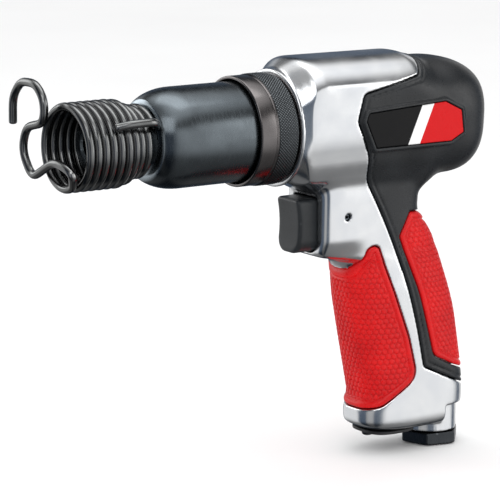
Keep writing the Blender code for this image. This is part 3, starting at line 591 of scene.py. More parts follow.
def field_piece(name, g, form, material, node, body="hammer_body"):
    points, faces = biggest(*surface(g, form))
    mesh_object(name, points, faces, material, node, body)


def lathe(profile, segments, radius_at=None):
    """Spin a closed profile of (along, radius) about x. radius_at can change a radius by the angle."""
    count = len(profile)
    angles = np.arange(segments) * math.tau / segments
    along = np.array([p[0] for p in profile])[None, :].repeat(segments, 0)
    radius = np.array([p[1] for p in profile])[None, :].repeat(segments, 0)
    if radius_at:
        radius = radius_at(along, radius, angles[:, None])
    c = np.cos(angles)[:, None] * radius
    s = np.sin(angles)[:, None] * radius
    verts = np.stack((along, c, s), -1).reshape(-1, 3)
    i = np.arange(segments)[:, None]
    k = np.arange(count)[None, :]
    j = (i + 1) % segments
    m = (k + 1) % count
    faces = np.stack([i * count + k, i * count + m, j * count + m, j * count + k], -1).reshape(-1, 4)
    area = sum(profile[n - 1][0] * profile[n][1] - profile[n][0] * profile[n - 1][1] for n in range(count))
    return verts, faces if area > 0 else faces[:, ::-1]


def turned_outline(corners, steps=5):
    return [tuple(point) for point in rounded(corners, True, steps)]


def sweep(path, radius, sides):
    """A round wire along a path, with rounded ends."""
    path = np.array(path, float)
    ahead = np.gradient(path, axis=0)
    ahead /= np.linalg.norm(ahead, axis=1)[:, None]
    first = np.cross(ahead[0], (0.3, 0.5, 0.8))
    side = first / np.linalg.norm(first)
    rings = []
    turn = np.arange(sides) * math.tau / sides
    frames = []
    for point, t in zip(path, ahead):
        side = side - t * (side @ t)
        side /= np.linalg.norm(side)
        frames.append((point, t, side, np.cross(t, side)))

    def ring(frame_here, shift, scale):
        point, t, u, v = frame_here
        return point + t * shift + scale * (np.cos(turn)[:, None] * u + np.sin(turn)[:, None] * v)

    caps = [math.radians(a) for a in (80, 60, 40, 20)]
    for a in caps:
        rings.append(ring(frames[0], -radius * math.sin(a) * 0.5, radius * math.cos(a)))
    rings += [ring(f, 0.0, radius) for f in frames]
    for a in reversed(caps):
        rings.append(ring(frames[-1], radius * math.sin(a) * 0.5, radius * math.cos(a)))
    verts = np.concatenate(rings)
    faces = []
    for r in range(len(rings) - 1):
        for k in range(sides):
            m = (k + 1) % sides
            faces.append((r * sides + k, r * sides + m, (r + 1) * sides + m, (r + 1) * sides + k))
    faces.append(tuple(reversed(range(sides))))
    faces.append(tuple((len(rings) - 1) * sides + k for k in range(sides)))
    return verts, faces


# Materials

def colour_ramp(tree, source, stops):
    """Colours at places from 0 to 1. A single number stands for a grey."""
    node = tree.nodes.new("ShaderNodeValToRGB")
    elements = node.color_ramp.elements
    for place, _ in stops[1:-1]:
        elements.new(place)
    for element, (place, colour) in zip(elements, stops):
        element.position = place
        element.color = (*(colour if isinstance(colour, tuple) else (colour,) * 3), 1.0)
    tree.links.new(source, node.inputs["Fac"])
    return node.outputs["Color"]


class Shader:
    """A short way to write a material's nodes."""

    def __init__(self, name, roughness, metallic=0.0):
        self.material = bpy.data.materials.new(name)
        self.material.use_nodes = True
        self.tree = self.material.node_tree
        self.main = self.tree.nodes["Principled BSDF"]
        self.main.inputs["Roughness"].default_value = roughness
        self.main.inputs["Metallic"].default_value = metallic
        self.place = self.tree.nodes.new("ShaderNodeTexCoord").outputs["Object"]

    def link(self, source, target):
        self.tree.links.new(source, target)

    def node(self, kind, **inputs):
        node = self.tree.nodes.new(kind)
        for key, value in inputs.items():
            node.inputs[key.replace("_", " ")].default_value = value
        return node

    def noise(self, scale, detail=3.0, stretch=None):
        noise = self.node("ShaderNodeTexNoise", Scale=scale, Detail=detail)
        source = self.place
        if stretch:
            mapping = self.node("ShaderNodeMapping", Scale=stretch)
            self.link(self.place, mapping.inputs["Vector"])
            source = mapping.outputs["Vector"]
        self.link(source, noise.inputs["Vector"])
        return noise.outputs["Fac"]

    def ramp(self, source, stops):
        return colour_ramp(self.tree, source, stops)

    def span(self, source, low, high):
        spread = self.node("ShaderNodeMapRange", From_Min=0.3, From_Max=0.7, To_Min=low, To_Max=high)
        self.link(source, spread.inputs["Value"])
        return spread.outputs["Result"]

    def mix(self, factor, a, b, kind="MIX"):
        mix = self.node("ShaderNodeMix")
        mix.data_type = "RGBA"
        mix.blend_type = kind
        for source, index in ((factor, 0), (a, 6), (b, 7)):
            if isinstance(source, (int, float)):
                mix.inputs[index].default_value = source
            elif isinstance(source, tuple):
                mix.inputs[index].default_value = (*source, 1.0)
            else:
                self.link(source, mix.inputs[index])
        return mix.outputs[2]

    def edges(self, low, high):
        """1 on outer edges, 0 elsewhere: where wear rubs them, and on the knurl's crests also a painted
        highlight.
        """
        point = self.tree.nodes.new("ShaderNodeNewGeometry").outputs["Pointiness"]
        return self.ramp(point, ((low, 0.0), (high, 1.0)))

    def bump(self, source, strength, distance=0.0002):
        bump = self.node("ShaderNodeBump", Strength=strength, Distance=distance)
        self.link(source, bump.inputs["Height"])
        self.link(bump.outputs["Normal"], self.main.inputs["Normal"])

    def colour(self, source):
        self.link(source, self.main.inputs["Base Color"])

    def rough(self, source):
        self.link(source, self.main.inputs["Roughness"])


def cast_aluminium():
    s = Shader("cast_aluminium", 0.2, 1.0)
    cloud = s.noise(70, 4)
    fine = s.noise(900, 3, (0.4, 1.0, 1.6))
    s.colour(s.mix(s.edges(0.52, 0.6), s.ramp(cloud, ((0.3, (0.76, 0.78, 0.81)), (0.7, (0.88, 0.89, 0.9)))),
                   (0.96, 0.96, 0.96)))
    s.rough(s.span(cloud, 0.15, 0.27))
    s.bump(fine, 0.06, 0.0001)
    return s.material


def moulded(name, dark, light, roughness, grain=1500, depth=0.35, wear=1.35, specular=0.42):
    """Moulded plastic or rubber: fine grain, slight cloudiness, edges rubbed lighter."""
    s = Shader(name, roughness)
    cloud = s.noise(60, 4)
    fine = s.noise(grain, 2)
    base = s.ramp(cloud, ((0.3, dark), (0.7, light)))
    worn = tuple(min(1.0, c * wear) for c in light)
    s.colour(s.mix(s.edges(0.52, 0.6), base, worn))
    s.main.inputs["Specular IOR Level"].default_value = specular
    s.rough(s.span(fine, roughness - 0.07, roughness + 0.08))
    s.bump(fine, depth, 0.00012)
    return s.material


def black_steel(name, dark, light, low, high, wear=2.2):
    """Steel with a black oxide finish. Edges are lightened by wear; a large wear, as on the knurl, also
    paints a highlight on them.
    """
    s = Shader(name, low, 1.0)
    cloud = s.noise(90, 4)
    turning = s.noise(300, 3, (6.0, 1.0, 1.0))
    worn = tuple(min(1.0, c * wear) for c in light)
    s.colour(s.mix(s.edges(0.53, 0.6), s.ramp(cloud, ((0.3, dark), (0.7, light))), worn))
    s.rough(s.span(turning, low, high))
    s.bump(turning, 0.01, 0.0001)
    return s.material


def bare_steel(name, colour, low, high):
    s = Shader(name, low, 1.0)
    cloud = s.noise(120, 4)
    fine = s.noise(1400, 2)
    dark = tuple(c * 0.78 for c in colour)
    s.colour(s.mix(s.edges(0.53, 0.62), s.ramp(cloud, ((0.35, dark), (0.65, colour))), (0.8, 0.8, 0.8)))
    s.rough(s.span(cloud, low, high))
    s.bump(fine, 0.08, 0.0001)
    return s.material


def badge_print():
    """Plain slanted colour fields, black, light and red, under a clear film."""
    s = Shader("badge_print", 0.3)
    s.main.inputs["Specular IOR Level"].default_value = 0.16
    split = s.node("ShaderNodeSeparateXYZ")
    s.link(s.place, split.inputs["Vector"])
    slant = s.node("ShaderNodeMath")
    slant.operation = "MULTIPLY_ADD"
    slant.inputs[1].default_value = -BADGE_SLANT
    s.link(split.outputs["Z"], slant.inputs[0])
    s.link(split.outputs["X"], slant.inputs[2])
    low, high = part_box("badge_left")
    shift = BADGE_SLANT * DRAWING.z
    spread = s.node("ShaderNodeMapRange", From_Min=low.x - shift, From_Max=high.x - shift)
    s.link(slant.outputs["Value"], spread.inputs["Value"])
    fields = s.ramp(spread.outputs["Result"], ((0.0, (0.004, 0.004, 0.0045)), (0.5, (0.82, 0.82, 0.82)),
                                               (0.62, (0.58, 0.006, 0.008))))
    fields.node.color_ramp.interpolation = "CONSTANT"
    speck = s.noise(2500, 2)
    s.colour(s.mix(0.06, fields, s.ramp(speck, ((0.35, 0.0), (0.65, 1.0))), "SOFT_LIGHT"))
    s.rough(s.span(s.noise(200, 3), 0.26, 0.38))
    s.bump(speck, 0.03, 0.00005)
    return s.material


ALUMINIUM = cast_aluminium()
COVER = moulded("cover_moulding", (0.009, 0.010, 0.0115), (0.017, 0.019, 0.0215), 0.32, 1700, 0.3)
RED = moulded("red_grip", (0.5, 0.002, 0.004), (0.68, 0.004, 0.005), 0.3, 1300, 0.08, 1.0, 0.3)
TRIGGER = moulded("trigger_moulding", (0.014, 0.016, 0.018), (0.024, 0.027, 0.030), 0.34, 1900, 0.3)
PLATE = moulded("plate_moulding", (0.012, 0.012, 0.013), (0.022, 0.022, 0.024), 0.5)
BLACK = black_steel("black_steel", (0.115, 0.132, 0.145), (0.155, 0.178, 0.195), 0.2, 0.3)
COLLAR = black_steel("collar_steel", (0.15, 0.14, 0.14), (0.20, 0.188, 0.187), 0.18, 0.28)
# The knurl's crests are lightened nine times over: worn steel, and beyond that a painted highlight on the
# crests.
KNURL = black_steel("knurled_steel", (0.035, 0.038, 0.041), (0.055, 0.06, 0.064), 0.18, 0.28, 9.0)
INLET = black_steel("inlet_steel", (0.045, 0.05, 0.055), (0.065, 0.07, 0.076), 0.22, 0.34)
SPRING = bare_steel("spring_wire", (0.2, 0.205, 0.205), 0.14, 0.26)
STEEL = bare_steel("ground_steel", (0.62, 0.62, 0.63), 0.18, 0.32)
BRASS = bare_steel("turned_brass", (0.72, 0.53, 0.24), 0.2, 0.35)
SEAL = moulded("seal_rubber", (0.012, 0.012, 0.012), (0.02, 0.02, 0.02), 0.6)
PRINT = badge_print()


# Casting, cover, grips and badges

def make_casting():
    """The handle casting, its cover and its grips, cut from one skin."""
    step = 0.6 * COARSE
    g = Grid((-1.5, -24.6, -136), (106, 24.6, 31), step)
    skin = skin_field(g)
    cover_side = g.outline(rounded(COVER_CORNERS, True))
    front_side = g.outline(rounded(FRONT_GRIP_CORNERS, True))
    rear_side = g.outline(rounded(REAR_GRIP_CORNERS, True))

    body = without(skin, both(cover_side - SEAM, -(skin + COVER_THICKNESS + GAP), 0.4), 0.5)
    body = without(body, both(front_side - SEAM, -(skin + GRIP_THICKNESS + GAP), 0.4), 0.5)
    step_cut = both(FOOT_STEP_X - g.x, g.z - FOOT_STEP_Z, 1.0)
    body = without(body, step_cut, 1.0)
    body = either(body, g.upright(INLET_X, BOSS_BOTTOM, -112, BOSS_RADIUS), 0.8)
    body = without(body, g.lengthwise(-5, SOCKET_DEPTH, SOCKET_RADIUS), 0.4)
    body = without(body, g.lengthwise(-5, SOCKET_MOUTH_DEPTH, SOCKET_MOUTH_RADIUS), 0.4)
    slot = both(trigger_head_field(g, 0.5), g.x - (TRIGGER_BACK + TRIGGER_TRAVEL + 0.5), 0.4)
    body = without(body, np.maximum(slot, 4.0 - g.x), 0.5)
    body = without(body, g.lengthwise(20, THROTTLE_END, THROTTLE_RADIUS, THROTTLE_Z), 0.4)
    body = without(body, g.rod((45, 0, THROTTLE_Z), (45, 0, -14), 2.5), 0.4)
    body = without(body, g.rod((PIN_X, -30, THROTTLE_Z), (PIN_X, 30, THROTTLE_Z), PIN_RADIUS + GAP), 0.4)
    body = without(body, g.rod((INLET_X - 0.6, 0, -119), (57.5, 0, THROTTLE_Z - 1), 3.5), 0.4)
    body = without(body, g.upright(INLET_X, -FULL_DEPTH, -117.5, INLET_NECK + GAP), 0.4)
    body = without(body, g.upright(INLET_X, -FULL_DEPTH, -132.1, 10.2), 0.3)
    body = without(body, g.upright(SCREW_X, -FULL_DEPTH, FOOT_BOTTOM + 8, 1.8), 0.3)
    field_piece("casting", g, body, ALUMINIUM, "handle_housing")

    groove = 0.45 * np.exp(-((cover_side + 1.9) / 0.4) ** 2)
    cover = both(skin - COVER_PROUD + groove, cover_side, 1.3)
    cover = either(cover, pad_field(g), 0.5)
    cover = without(cover, skin + COVER_THICKNESS, 0.4)
    cover = both(cover, cover_side, 0.5)
    badge_side = g.outline(rounded(BADGE_CORNERS, True)) + BADGE_BORDER
    recess = both(badge_side - GAP, BADGE_OUTER_Y - BADGE_THICKNESS - GAP - np.abs(g.y), 0.2)
    cover = without(cover, recess, 0.35)
    cover = without(cover, rear_side - SEAM, 0.6)
    field_piece("back_cover", g, cover, COVER, "rear_cover")


def honeycomb(u, v, cell):
    """0 on the grooves between six-sided cells, 1 in their middles."""
    best = np.full(u.shape, 1e9)
    second = np.full(u.shape, 1e9)
    row = cell * math.sqrt(3) / 2
    nearest = np.round(v / row)
    for dr in (-1, 0, 1):
        line = nearest + dr
        shift = np.where(line % 2 == 0, 0.0, cell / 2)
        column = np.round((u - shift) / cell)
        for dc in (-1, 0, 1):
            d = np.hypot(u - shift - (column + dc) * cell, v - line * row)
            second = np.minimum(second, np.maximum(best, d))
            best = np.minimum(best, d)
    return smooth_step(0.0, 0.75, (second - best))


def make_grip(name, node, corners, low, high, thickness, start_angle):
    """A soft grip: a border band, a groove, and six-sided scales laid out on both sides of start_angle."""
    g = Grid(low, high, 0.36 * COARSE)
    skin = skin_field(g)
    side = g.outline(rounded(corners, True))
    groove = 0.5 * np.exp(-((side + 2.7) / 0.42) ** 2)
    bead = 0.22 * np.exp(-((side + 1.4) / 0.8) ** 2)
    form = both(skin - GRIP_PROUD + groove - bead, side, 1.2)
    form = without(form, skin + thickness, 0.4)
    points, faces = biggest(*surface(g, form))
    normal = slopes(g, form, points)
    normal /= np.maximum(np.linalg.norm(normal, axis=1), 1e-6)[:, None]
    z = points[:, 2]
    front = edge_line(HANDLE_FRONT, z)
    back = edge_line(HANDLE_BACK, z)
    half = edge_line(HANDLE_SIDE, z)
    angle = np.arctan2(points[:, 1] / half, (points[:, 0] - (front + back) / 2) / ((back - front) / 2))
    angle = np.angle(np.exp(1j * (angle - start_angle)))
    spread = np.linspace(-math.pi, math.pi, 721)
    c, s = np.cos(spread + start_angle), np.sin(spread + start_angle)
    reach = (np.abs(c) ** SKIN_POWER + np.abs(s) ** SKIN_POWER) ** (-1 / SKIN_POWER)
    around = np.stack([c * reach * SKIN_HALF_LENGTH, s * reach * SKIN_HALF_WIDTH], 1)
    length = np.concatenate([[0], np.cumsum(np.linalg.norm(np.diff(around, axis=0), axis=1))])
    u = np.interp(angle, spread, length - length[360])
    on_skin = smooth_step(-1.4, -0.7, sample(g, skin.astype(np.float32), points))
    from_edge = -outline_distance(rounded(corners, True), points[:, 0], z)
    mask = on_skin * smooth_step(3.1, 3.7, from_edge)
    height = (honeycomb(u, z, SCALE_SIZE) - 1.0) * SCALE_DEPTH
    points = points + normal * (height * mask)[:, None]
    mesh_object(name, points, faces, RED, node)


def make_badge(name, node, side):
    g = Grid((30, -24, -14), (86, -20, 12), 0.3 * COARSE)
    outline = g.outline(rounded(BADGE_CORNERS, True)) + BADGE_BORDER
    middle = BADGE_OUTER_Y - BADGE_THICKNESS / 2
    plate = both(outline, np.abs(-g.y - middle) - BADGE_THICKNESS / 2, 0.25)
    points, faces = biggest(*surface(g, plate))
    if side > 0:
        points[:, 1] *= -1
        faces = faces[:, ::-1]
    mesh_object(name, points, faces, PRINT, node)


def make_trigger():
    g = Grid((6, -9.5, -54), (34, 9.5, -27), 0.34 * COARSE)
    depth = 1.2 - ((g.z + 40) ** 2) / 92
    head = both(trigger_head_field(g), TRIGGER_FRONT + np.maximum(depth, -0.1) - g.x, 2.0)
    head = both(head, g.x - TRIGGER_BACK, 0.6)
    head = either(head, g.lengthwise(TRIGGER_BACK - 2, STEM_END, STEM_RADIUS, THROTTLE_Z), 0.4)
    half = PIN_RADIUS + GAP
    slot = np.maximum(np.abs(g.x - PIN_X + TRIGGER_TRAVEL / 2) - TRIGGER_TRAVEL / 2 - half,
                      np.abs(g.z - THROTTLE_Z) - half)
    head = without(head, slot, 0.3)
    field_piece("trigger_button", g, head, TRIGGER, "trigger", "trigger_body")


def make_inlet():
    g = Grid((INLET_X - 14, -14, HEX_BOTTOM - 1), (INLET_X + 14, 14, BUSH_HIGH.z + 1), 0.36 * COARSE)
    neck = g.upright(INLET_X, HEX_BOTTOM + 1, BUSH_HIGH.z, INLET_NECK)
    form = either(hexagon_field(g), neck, 0.3)
    turns = g.z / INLET_THREAD_PITCH - np.arctan2(g.y, g.x - INLET_X) / math.tau
    thread = 0.32 * np.sin(math.tau * turns)
    bore = np.maximum(np.hypot(g.x - INLET_X, g.y) - INLET_BORE - 0.3 - thread * 0.8,
                      np.maximum(-FULL_DEPTH - g.z, g.z - INLET_BORE_TOP))
    form = without(form, bore, 0.3)
    form = without(form, g.upright(INLET_X, -FULL_DEPTH, BUSH_HIGH.z + 5, 4.0), 0.3)
    field_piece("inlet_hexagon", g, form, INLET, "air_inlet_bush")


def make_plate():
    middle_x = (PLATE_LOW.x + PLATE_HIGH.x) / 2
    edge = Vector((1, 1, 1))
    g = Grid(PLATE_LOW - edge, PLATE_HIGH + edge, 0.3 * COARSE)
    half_x = (PLATE_HIGH.x - PLATE_LOW.x) / 2
    half_y = (PLATE_HIGH.y - PLATE_LOW.y) / 2
    section = (np.abs(g.x - middle_x) / half_x) ** 3 + (np.abs(g.y) / half_y) ** 3
    form = (section ** (1 / 3) - 1) * half_x + 0 * g.z
    middle = (PLATE_LOW.z + PLATE_HIGH.z) / 2
    form = both(form, np.abs(g.z - middle) - (PLATE_HIGH.z - PLATE_LOW.z) / 2, 0.4)
    form = without(form, g.upright(SCREW_X, -FULL_DEPTH, -100, SCREW_HEAD_RADIUS + GAP), 0.2)
    field_piece("foot_plate", g, form, PLATE, "end_plate")


def make_screw():
    """The plate's screw, with a hexagon key's hole in its head."""
    edge = 3.2
    low = (SCREW_X - edge, -edge, SCREW_LOW.z - 0.6)
    g = Grid(low, (SCREW_X + edge, edge, SCREW_HIGH.z + 0.6), 0.16 * COARSE)
    cone = (np.hypot(g.x - SCREW_X, g.y) - 1.7 - (g.z - SCREW_LOW.z)) * 0.7
    head = both(g.upright(SCREW_X, SCREW_LOW.z, PLATE_LOW.z + 0.3, SCREW_HEAD_RADIUS), cone, 0.3)
    form = either(head, g.upright(SCREW_X, SCREW_LOW.z + 0.8, SCREW_HIGH.z, SCREW_RADIUS), 0.15)
    key = None
    for k in range(3):
        angle = k * math.pi / 3
        face = np.abs((g.x - SCREW_X) * math.cos(angle) + g.y * math.sin(angle)) - SCREW_KEY
        key = face if key is None else np.maximum(key, face)
    form = without(form, np.maximum(key, g.z - SCREW_LOW.z - SCREW_KEY), 0.15)
    field_piece("foot_screw", g, form, INLET, "end_plate_screw")


# Turned pieces

def make_barrel():
    corners = [(SPIGOT_END, PISTON_BORE, 0.3), (SPIGOT_END, SPIGOT_RADIUS, 0.4), (-0.3, SPIGOT_RADIUS, 0),
               (-0.3, SEAT_RADIUS, 0.2), (-2.6, SEAT_RADIUS, 0), (-2.6, SEAT_RADIUS - SEAT_GROOVE, 0),
               (-5.0, SEAT_RADIUS - SEAT_GROOVE, 0), (-5.0, SEAT_RADIUS, 0), (SHOULDER_X, SEAT_RADIUS, 0),
               (SHOULDER_X, BARREL_RADIUS, 0.5), (TAPER_START, BARREL_RADIUS, 0)]
    for k in range(1, 17):
        turn = TAPER_ANGLE * k / 16
        corners.append((TAPER_START - 16.4 * math.sin(turn), BARREL_RADIUS - 9.6 * (1 - math.cos(turn)), 0))
    corners += [(NOSE_START, 13.5, 0.6), (NOSE_START, NOSE_RADIUS, 0), (THREAD_START, NOSE_RADIUS, 0.2),
                (THREAD_START, THREAD_RADIUS, 0)]
    for k in range(THREAD_TURNS):
        x = THREAD_START - 0.8 - k * THREAD_PITCH
        corners += [(x, THREAD_RADIUS, 0), (x - 0.45, THREAD_RADIUS - THREAD_DEPTH, 0),
                    (x - 0.95, THREAD_RADIUS, 0)]
    corners += [(NOSE_END + 0.9, THREAD_RADIUS, 0.2), (NOSE_END, THREAD_RADIUS - 1.0, 0.2),
                (NOSE_END, SHANK_RADIUS + 0.8, 0.2), (NOSE_END + 0.8, SHANK_RADIUS, 0.2),
                (PISTON_BORE_END, SHANK_RADIUS, 0), (PISTON_BORE_END, PISTON_BORE, 0)]
    verts, faces = lathe(turned_outline(corners, 4), 128)
    mesh_object("barrel_tube", verts, faces, BLACK, "barrel")


def make_collar():
    """A plain band in front, a diamond knurl behind, and a dark room inside its lip."""
    step = (KNURL_RADIUS + COLLAR_RADIUS) / 2 - 0.5
    pitch = math.tau * KNURL_RADIUS / KNURL_DIAMONDS
    samples = 6 if COARSE == 1.0 else 3
    start, end = KNURL_START + 0.35, COLLAR_BACK - 0.35
    rows = int(round((end - start) / pitch)) * samples
    corners = [(COLLAR_STEP, COLLAR_LIP, 0), (COLLAR_FRONT, COLLAR_LIP, 0.2),
               (COLLAR_FRONT, COLLAR_RADIUS, 0.6), (KNURL_START - 0.8, COLLAR_RADIUS, 0.25),
               (KNURL_START - 0.5, step, 0), (KNURL_START, step, 0), (start, KNURL_RADIUS - 0.3, 0)]
    profile = [tuple(p) for p in rounded(corners, False, 4)]
    knurl_x = np.linspace(start, end, rows + 1)
    profile += [(float(x), KNURL_RADIUS) for x in knurl_x]
    profile += [(COLLAR_BACK, step), (COLLAR_BACK, COLLAR_BORE), (COLLAR_STEP, COLLAR_BORE)]

    def knurl(along, radius, angle):
        u = angle / math.tau * KNURL_DIAMONDS
        v = (along - start) / ((end - start) / (rows / samples))
        rise = np.minimum(1 - np.abs(((u + v) % 1) * 2 - 1), 1 - np.abs(((u - v) % 1) * 2 - 1))
        area = (radius > KNURL_RADIUS - 0.01) & (along > start - 0.01)
        taper = smooth_step(0, 0.4, np.minimum(along - start, end - along))
        return np.where(area, KNURL_RADIUS - KNURL_DEPTH + rise * 0.36 * taper, radius)

    verts, faces = lathe(profile, KNURL_DIAMONDS * samples, knurl)
    piece = mesh_object("collar_ring", verts, faces, COLLAR, "exhaust_collar",
                        "exhaust_collar_body")
    piece.data.materials.append(KNURL)
    count = len(profile)
    first = next(k for k, p in enumerate(profile) if p[0] >= start - 0.001 and p[1] > KNURL_RADIUS - 0.01)
    index = np.arange(len(piece.data.polygons)) % count
    knurled = ((index >= first) & (index < first + rows)).astype(np.int32)
    piece.data.polygons.foreach_set("material_index", knurled)


def make_pin():
    """A rolled spring pin: a split tube."""
    outer, inner = PIN_RADIUS, PIN_RADIUS * 0.55
    steps = 40
    arc = [math.radians(12 + 336 * k / steps) for k in range(steps + 1)]
    ring = [(outer * math.cos(a), outer * math.sin(a)) for a in arc]
    ring += [(inner * math.cos(a), inner * math.sin(a)) for a in reversed(arc)]
    count = len(ring)
    verts = [(PIN_X + a, y, THROTTLE_Z + b) for y in (PIN_LOW.y + 0.8, PIN_HIGH.y - 0.8) for a, b in ring]
    faces = [(k, (k + 1) % count, count + (k + 1) % count, count + k) for k in range(count)]
    for k in range(steps):
        m = count - 1 - k
        faces.append((k, m, m - 1, k + 1)[::-1])
        faces.append((count + k, count + k + 1, count + m - 1, count + m)[::-1])
    piece = mesh_object("rolled_pin", verts, faces, BLACK, "trigger_pin")
    piece.data.set_sharp_from_angle(angle=math.radians(35))


# Retaining spring

def coil_point(turn):
    closing = max(0.0, min(1.0, (turn - (COIL_TURNS - CLOSING_START)) / CLOSING_LENGTH))
    radius = COIL_RADIUS + (SMALL_COIL_RADIUS - COIL_RADIUS) * closing * closing * (3 - 2 * closing)
    angle = COIL_START_ANGLE + math.tau * turn
    return np.array((SPRING_FRONT + COIL_PITCH * turn, radius * math.cos(angle), radius * math.sin(angle)))


def even_path(points, spacing):
    """Points spaced evenly along a path, with its small kinks eased."""
    points = np.array(points, float)
    lengths = np.concatenate([[0], np.cumsum(np.linalg.norm(np.diff(points, axis=0), axis=1))])
    at = np.linspace(0, lengths[-1], int(lengths[-1] / spacing))
    path = np.stack([np.interp(at, lengths, points[:, k]) for k in range(3)], 1)
    for _ in range(6):
        path[1:-1] = (path[:-2] + 2 * path[1:-1] + path[2:]) / 4
    return path


def make_spring():
    hook = [np.array((HOOK_X, y, z)) for y, z in rounded(HOOK_CORNERS, steps=12)]
    lead = [np.array(HOOK_LEAD)]
    coils = [coil_point(0.06 + (COIL_TURNS - 0.06) * k / 620) for k in range(621)]
    out = np.array((0, math.cos(TANG_ANGLE), math.sin(TANG_ANGLE)))
    tang = [np.array((x, 0, 0)) + out * radius for x, radius in rounded(TANG_CORNERS, steps=8)]
    path = even_path(hook + lead + coils + tang, 0.9 * COARSE)
    verts, faces = sweep(path, WIRE_RADIUS, 18)
    mesh_object("spring_wire_coil", verts, faces, SPRING, "retaining_spring")


def make_throttle_spring():
    """The coil behind the throttle valve, which shortens in the tool as the valve is pushed back; it is swept
    here at its CAD node's length.
    """
    low, high = node_box("throttle_spring")
    wire = THROTTLE_WIRE_RADIUS
    turns = THROTTLE_SPRING_TURNS
    radius = (high.z - low.z) / 2 - wire
    middle = (low.z + high.z) / 2
    steps = turns * 36
    path = []
    for k in range(steps + 1):
        angle = math.tau * turns * k / steps
        x = low.x + wire + (high.x - low.x - 2 * wire) * k / steps
        path.append((x, radius * math.cos(angle), middle + radius * math.sin(angle)))
    verts, faces = sweep(path, wire, 10)
    spring = mesh_object("throttle_spring_wire", verts, faces, SPRING, "throttle_spring")
    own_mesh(spring)


make_casting()
make_grip("front_grip_skin", "front_grip", FRONT_GRIP_CORNERS, (30, -17.5, -124), (66, 17.5, -47),
          GRIP_THICKNESS, math.pi)
make_grip("rear_grip_skin", "rear_grip", REAR_GRIP_CORNERS, (52, -17.5, -118), (95, 17.5, -36),
          COVER_THICKNESS, 0.0)
make_badge("badge_plate_left", "badge_left", -1)
make_badge("badge_plate_right", "badge_right", 1)
make_trigger()
make_inlet()
make_plate()
make_screw()
make_barrel()
make_collar()
make_pin()
make_spring()
make_throttle_spring()


# Pieces kept from the CAD model, inside the tool
KEPT = {
    "piston": STEEL, "valve_case_front": STEEL, "valve_case_back": STEEL, "valve_disc": STEEL,
    "valve_dowel_pin": STEEL, "throttle_valve": STEEL, "throttle_bush": BRASS, "inlet_strainer": BRASS,
    "throttle_valve_seal": SEAL, "throttle_bush_o_ring": SEAL,
    "throttle_stem_o_ring": SEAL, "barrel_o_ring": SEAL, "collar_o_ring": SEAL, "inlet_o_ring": SEAL,
}
for node, finish in KEPT.items():
    mesh = frame["nodes"][node].data
    mesh.materials.clear()
    mesh.materials.append(finish)


# Floor, light and camera

def make_floor():
    size = 3.0
    mesh = bpy.data.meshes.new("floor")
    z = cad_low.z - 0.0005
    corners = [(-size, -size, z), (size, -size, z), (size, size, z), (-size, size, z)]
    mesh.from_pydata(corners, [], [(0, 1, 2, 3)])
    floor = bpy.data.objects.new("floor", mesh)
    bpy.context.scene.collection.objects.link(floor)
    s = Shader("pale_floor", 0.6)
    s.colour(s.ramp(s.noise(4, 3), ((0.3, (0.89, 0.89, 0.89)), (0.7, (0.92, 0.92, 0.92)))))
    mesh.materials.append(s.material)
    floor.visible_glossy = False


def area_light(name, place, width, height, power, colour=(1, 1, 1)):
    """A soft lamp that points at the tool's middle."""
    light = bpy.data.lights.new(name, "AREA")
    light.shape = "RECTANGLE"
    light.size = width
    light.size_y = height
    light.energy = power
    light.color = colour
    lamp = bpy.data.objects.new(name, light)
    lamp.location = place
    lamp.rotation_euler = ((cad_low + cad_high) / 2 - Vector(place)).to_track_quat("-Z", "Y").to_euler()
    bpy.context.scene.collection.objects.link(lamp)


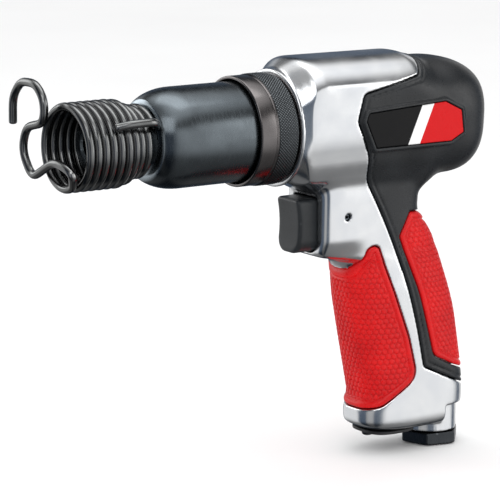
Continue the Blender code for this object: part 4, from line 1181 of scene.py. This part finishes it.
def make_world():
    """White for the camera and even for soft light. Reflections see dark walls with bright stretches and a
    bright roof, which is weaker in front of the tool."""
    world = bpy.data.worlds.new("studio")
    world.use_nodes = True
    bpy.context.scene.world = world
    tree = world.node_tree
    tree.nodes.clear()
    link = tree.links.new
    split = tree.nodes.new("ShaderNodeSeparateXYZ")
    link(tree.nodes.new("ShaderNodeTexCoord").outputs["Generated"], split.inputs["Vector"])

    def math_node(operation, a, b):
        node = tree.nodes.new("ShaderNodeMath")
        node.operation = operation
        for socket, value in zip(node.inputs, (a, b)):
            if isinstance(value, (int, float)):
                socket.default_value = value
            else:
                link(value, socket)
        return node.outputs["Value"]

    def ramp(source, stops):
        return colour_ramp(tree, source, stops)

    def blend(kind, a, b):
        node = tree.nodes.new("ShaderNodeMix")
        node.data_type = "RGBA"
        node.blend_type = kind
        node.inputs[0].default_value = 1.0
        link(a, node.inputs[6])
        link(b, node.inputs[7])
        return node.outputs[2]

    turn = math_node("DIVIDE", math_node("ARCTAN2", split.outputs["Y"], split.outputs["X"]), math.tau)
    turn = math_node("ADD", turn, 0.5)
    ahead = math_node("MULTIPLY_ADD", split.outputs["X"], 0.5)
    ahead.node.inputs[2].default_value = 0.5
    height = math_node("MULTIPLY_ADD", split.outputs["Z"], 0.5)
    height.node.inputs[2].default_value = 0.5
    slate = (0.085, 0.11, 0.15)
    dim = (0.14, 0.165, 0.20)
    walls = ramp(turn, ((0.0, slate), (0.02, 0.3), (0.045, 0.42), (0.11, 0.42), (0.13, slate), (0.20, dim),
                        (0.235, 0.95), (0.44, 0.95), (0.48, dim), (0.52, slate),
                        (0.545, 0.7), (0.615, 0.7), (0.635, slate), (0.7, slate), (0.73, 0.8),
                        (0.88, 0.8), (0.91, slate), (1.0, slate)))
    reach = ramp(height, ((0.0, 0.16), (0.2, 0.24), (0.28, 0.7), (0.36, 1.0), (0.70, 1.0), (0.75, 0.2),
                          (1.0, 0.2)))
    roof = ramp(height, ((0.0, 0.0), (0.83, 0.0), (0.90, 0.95), (1.0, 1.15)))
    roof = blend("MULTIPLY", roof, ramp(ahead, ((0.0, 0.3), (0.32, 0.3), (0.47, 1.0), (1.0, 1.0))))
    studio = blend("ADD", blend("MULTIPLY", walls, reach), roof)
    soft = ramp(height, ((0.0, 0.7), (0.5, 0.85), (1.0, 1.25)))
    path = tree.nodes.new("ShaderNodeLightPath")
    last = None
    for source in (soft, studio, None):
        background = tree.nodes.new("ShaderNodeBackground")
        if source:
            link(source, background.inputs["Color"])
        else:
            background.inputs["Color"].default_value = (1, 1, 1, 1)
        if last is None:
            last = background.outputs["Background"]
            continue
        mix = tree.nodes.new("ShaderNodeMixShader")
        link(path.outputs["Is Glossy Ray" if source else "Is Camera Ray"], mix.inputs["Fac"])
        link(last, mix.inputs[1])
        link(background.outputs["Background"], mix.inputs[2])
        last = mix.outputs["Shader"]
    out = tree.nodes.new("ShaderNodeOutputWorld")
    link(last, out.inputs["Surface"])


def make_camera():
    """The photograph's viewpoint: from the tool's left front, a little above it."""
    azimuth = math.radians(-33.74)
    elevation = math.radians(10.94)
    distance = 1.1624
    camera = bpy.data.objects.new("camera", bpy.data.cameras.new("camera"))
    camera.data.sensor_width = 36.0
    camera.data.lens = 209.2
    back = Vector((math.sin(azimuth) * math.cos(elevation), -math.cos(azimuth) * math.cos(elevation),
                   math.sin(elevation)))
    target = DRAWING + Vector((-9.3, 0.0, -48.6)) * MM
    camera.location = target + back * distance
    camera.rotation_euler = (-back).to_track_quat("-Z", "Y").to_euler()
    camera.data.clip_start = 0.01
    camera.data.clip_end = 20.0
    bpy.context.scene.collection.objects.link(camera)
    bpy.context.scene.camera = camera


make_floor()
make_world()
area_light("key", (-0.7, -0.9, 1.0), 0.8, 0.8, 3.5)
area_light("side", (0.9, -0.8, 0.35), 0.5, 0.9, 1.6, (1.0, 0.99, 0.97))
area_light("top", (0.1, 0.1, 1.1), 0.9, 0.5, 2.0)
area_light("rim", (-0.5, 0.9, 0.5), 0.4, 0.7, 1.5)
make_camera()
bpy.context.scene.view_settings.view_transform = "Standard"
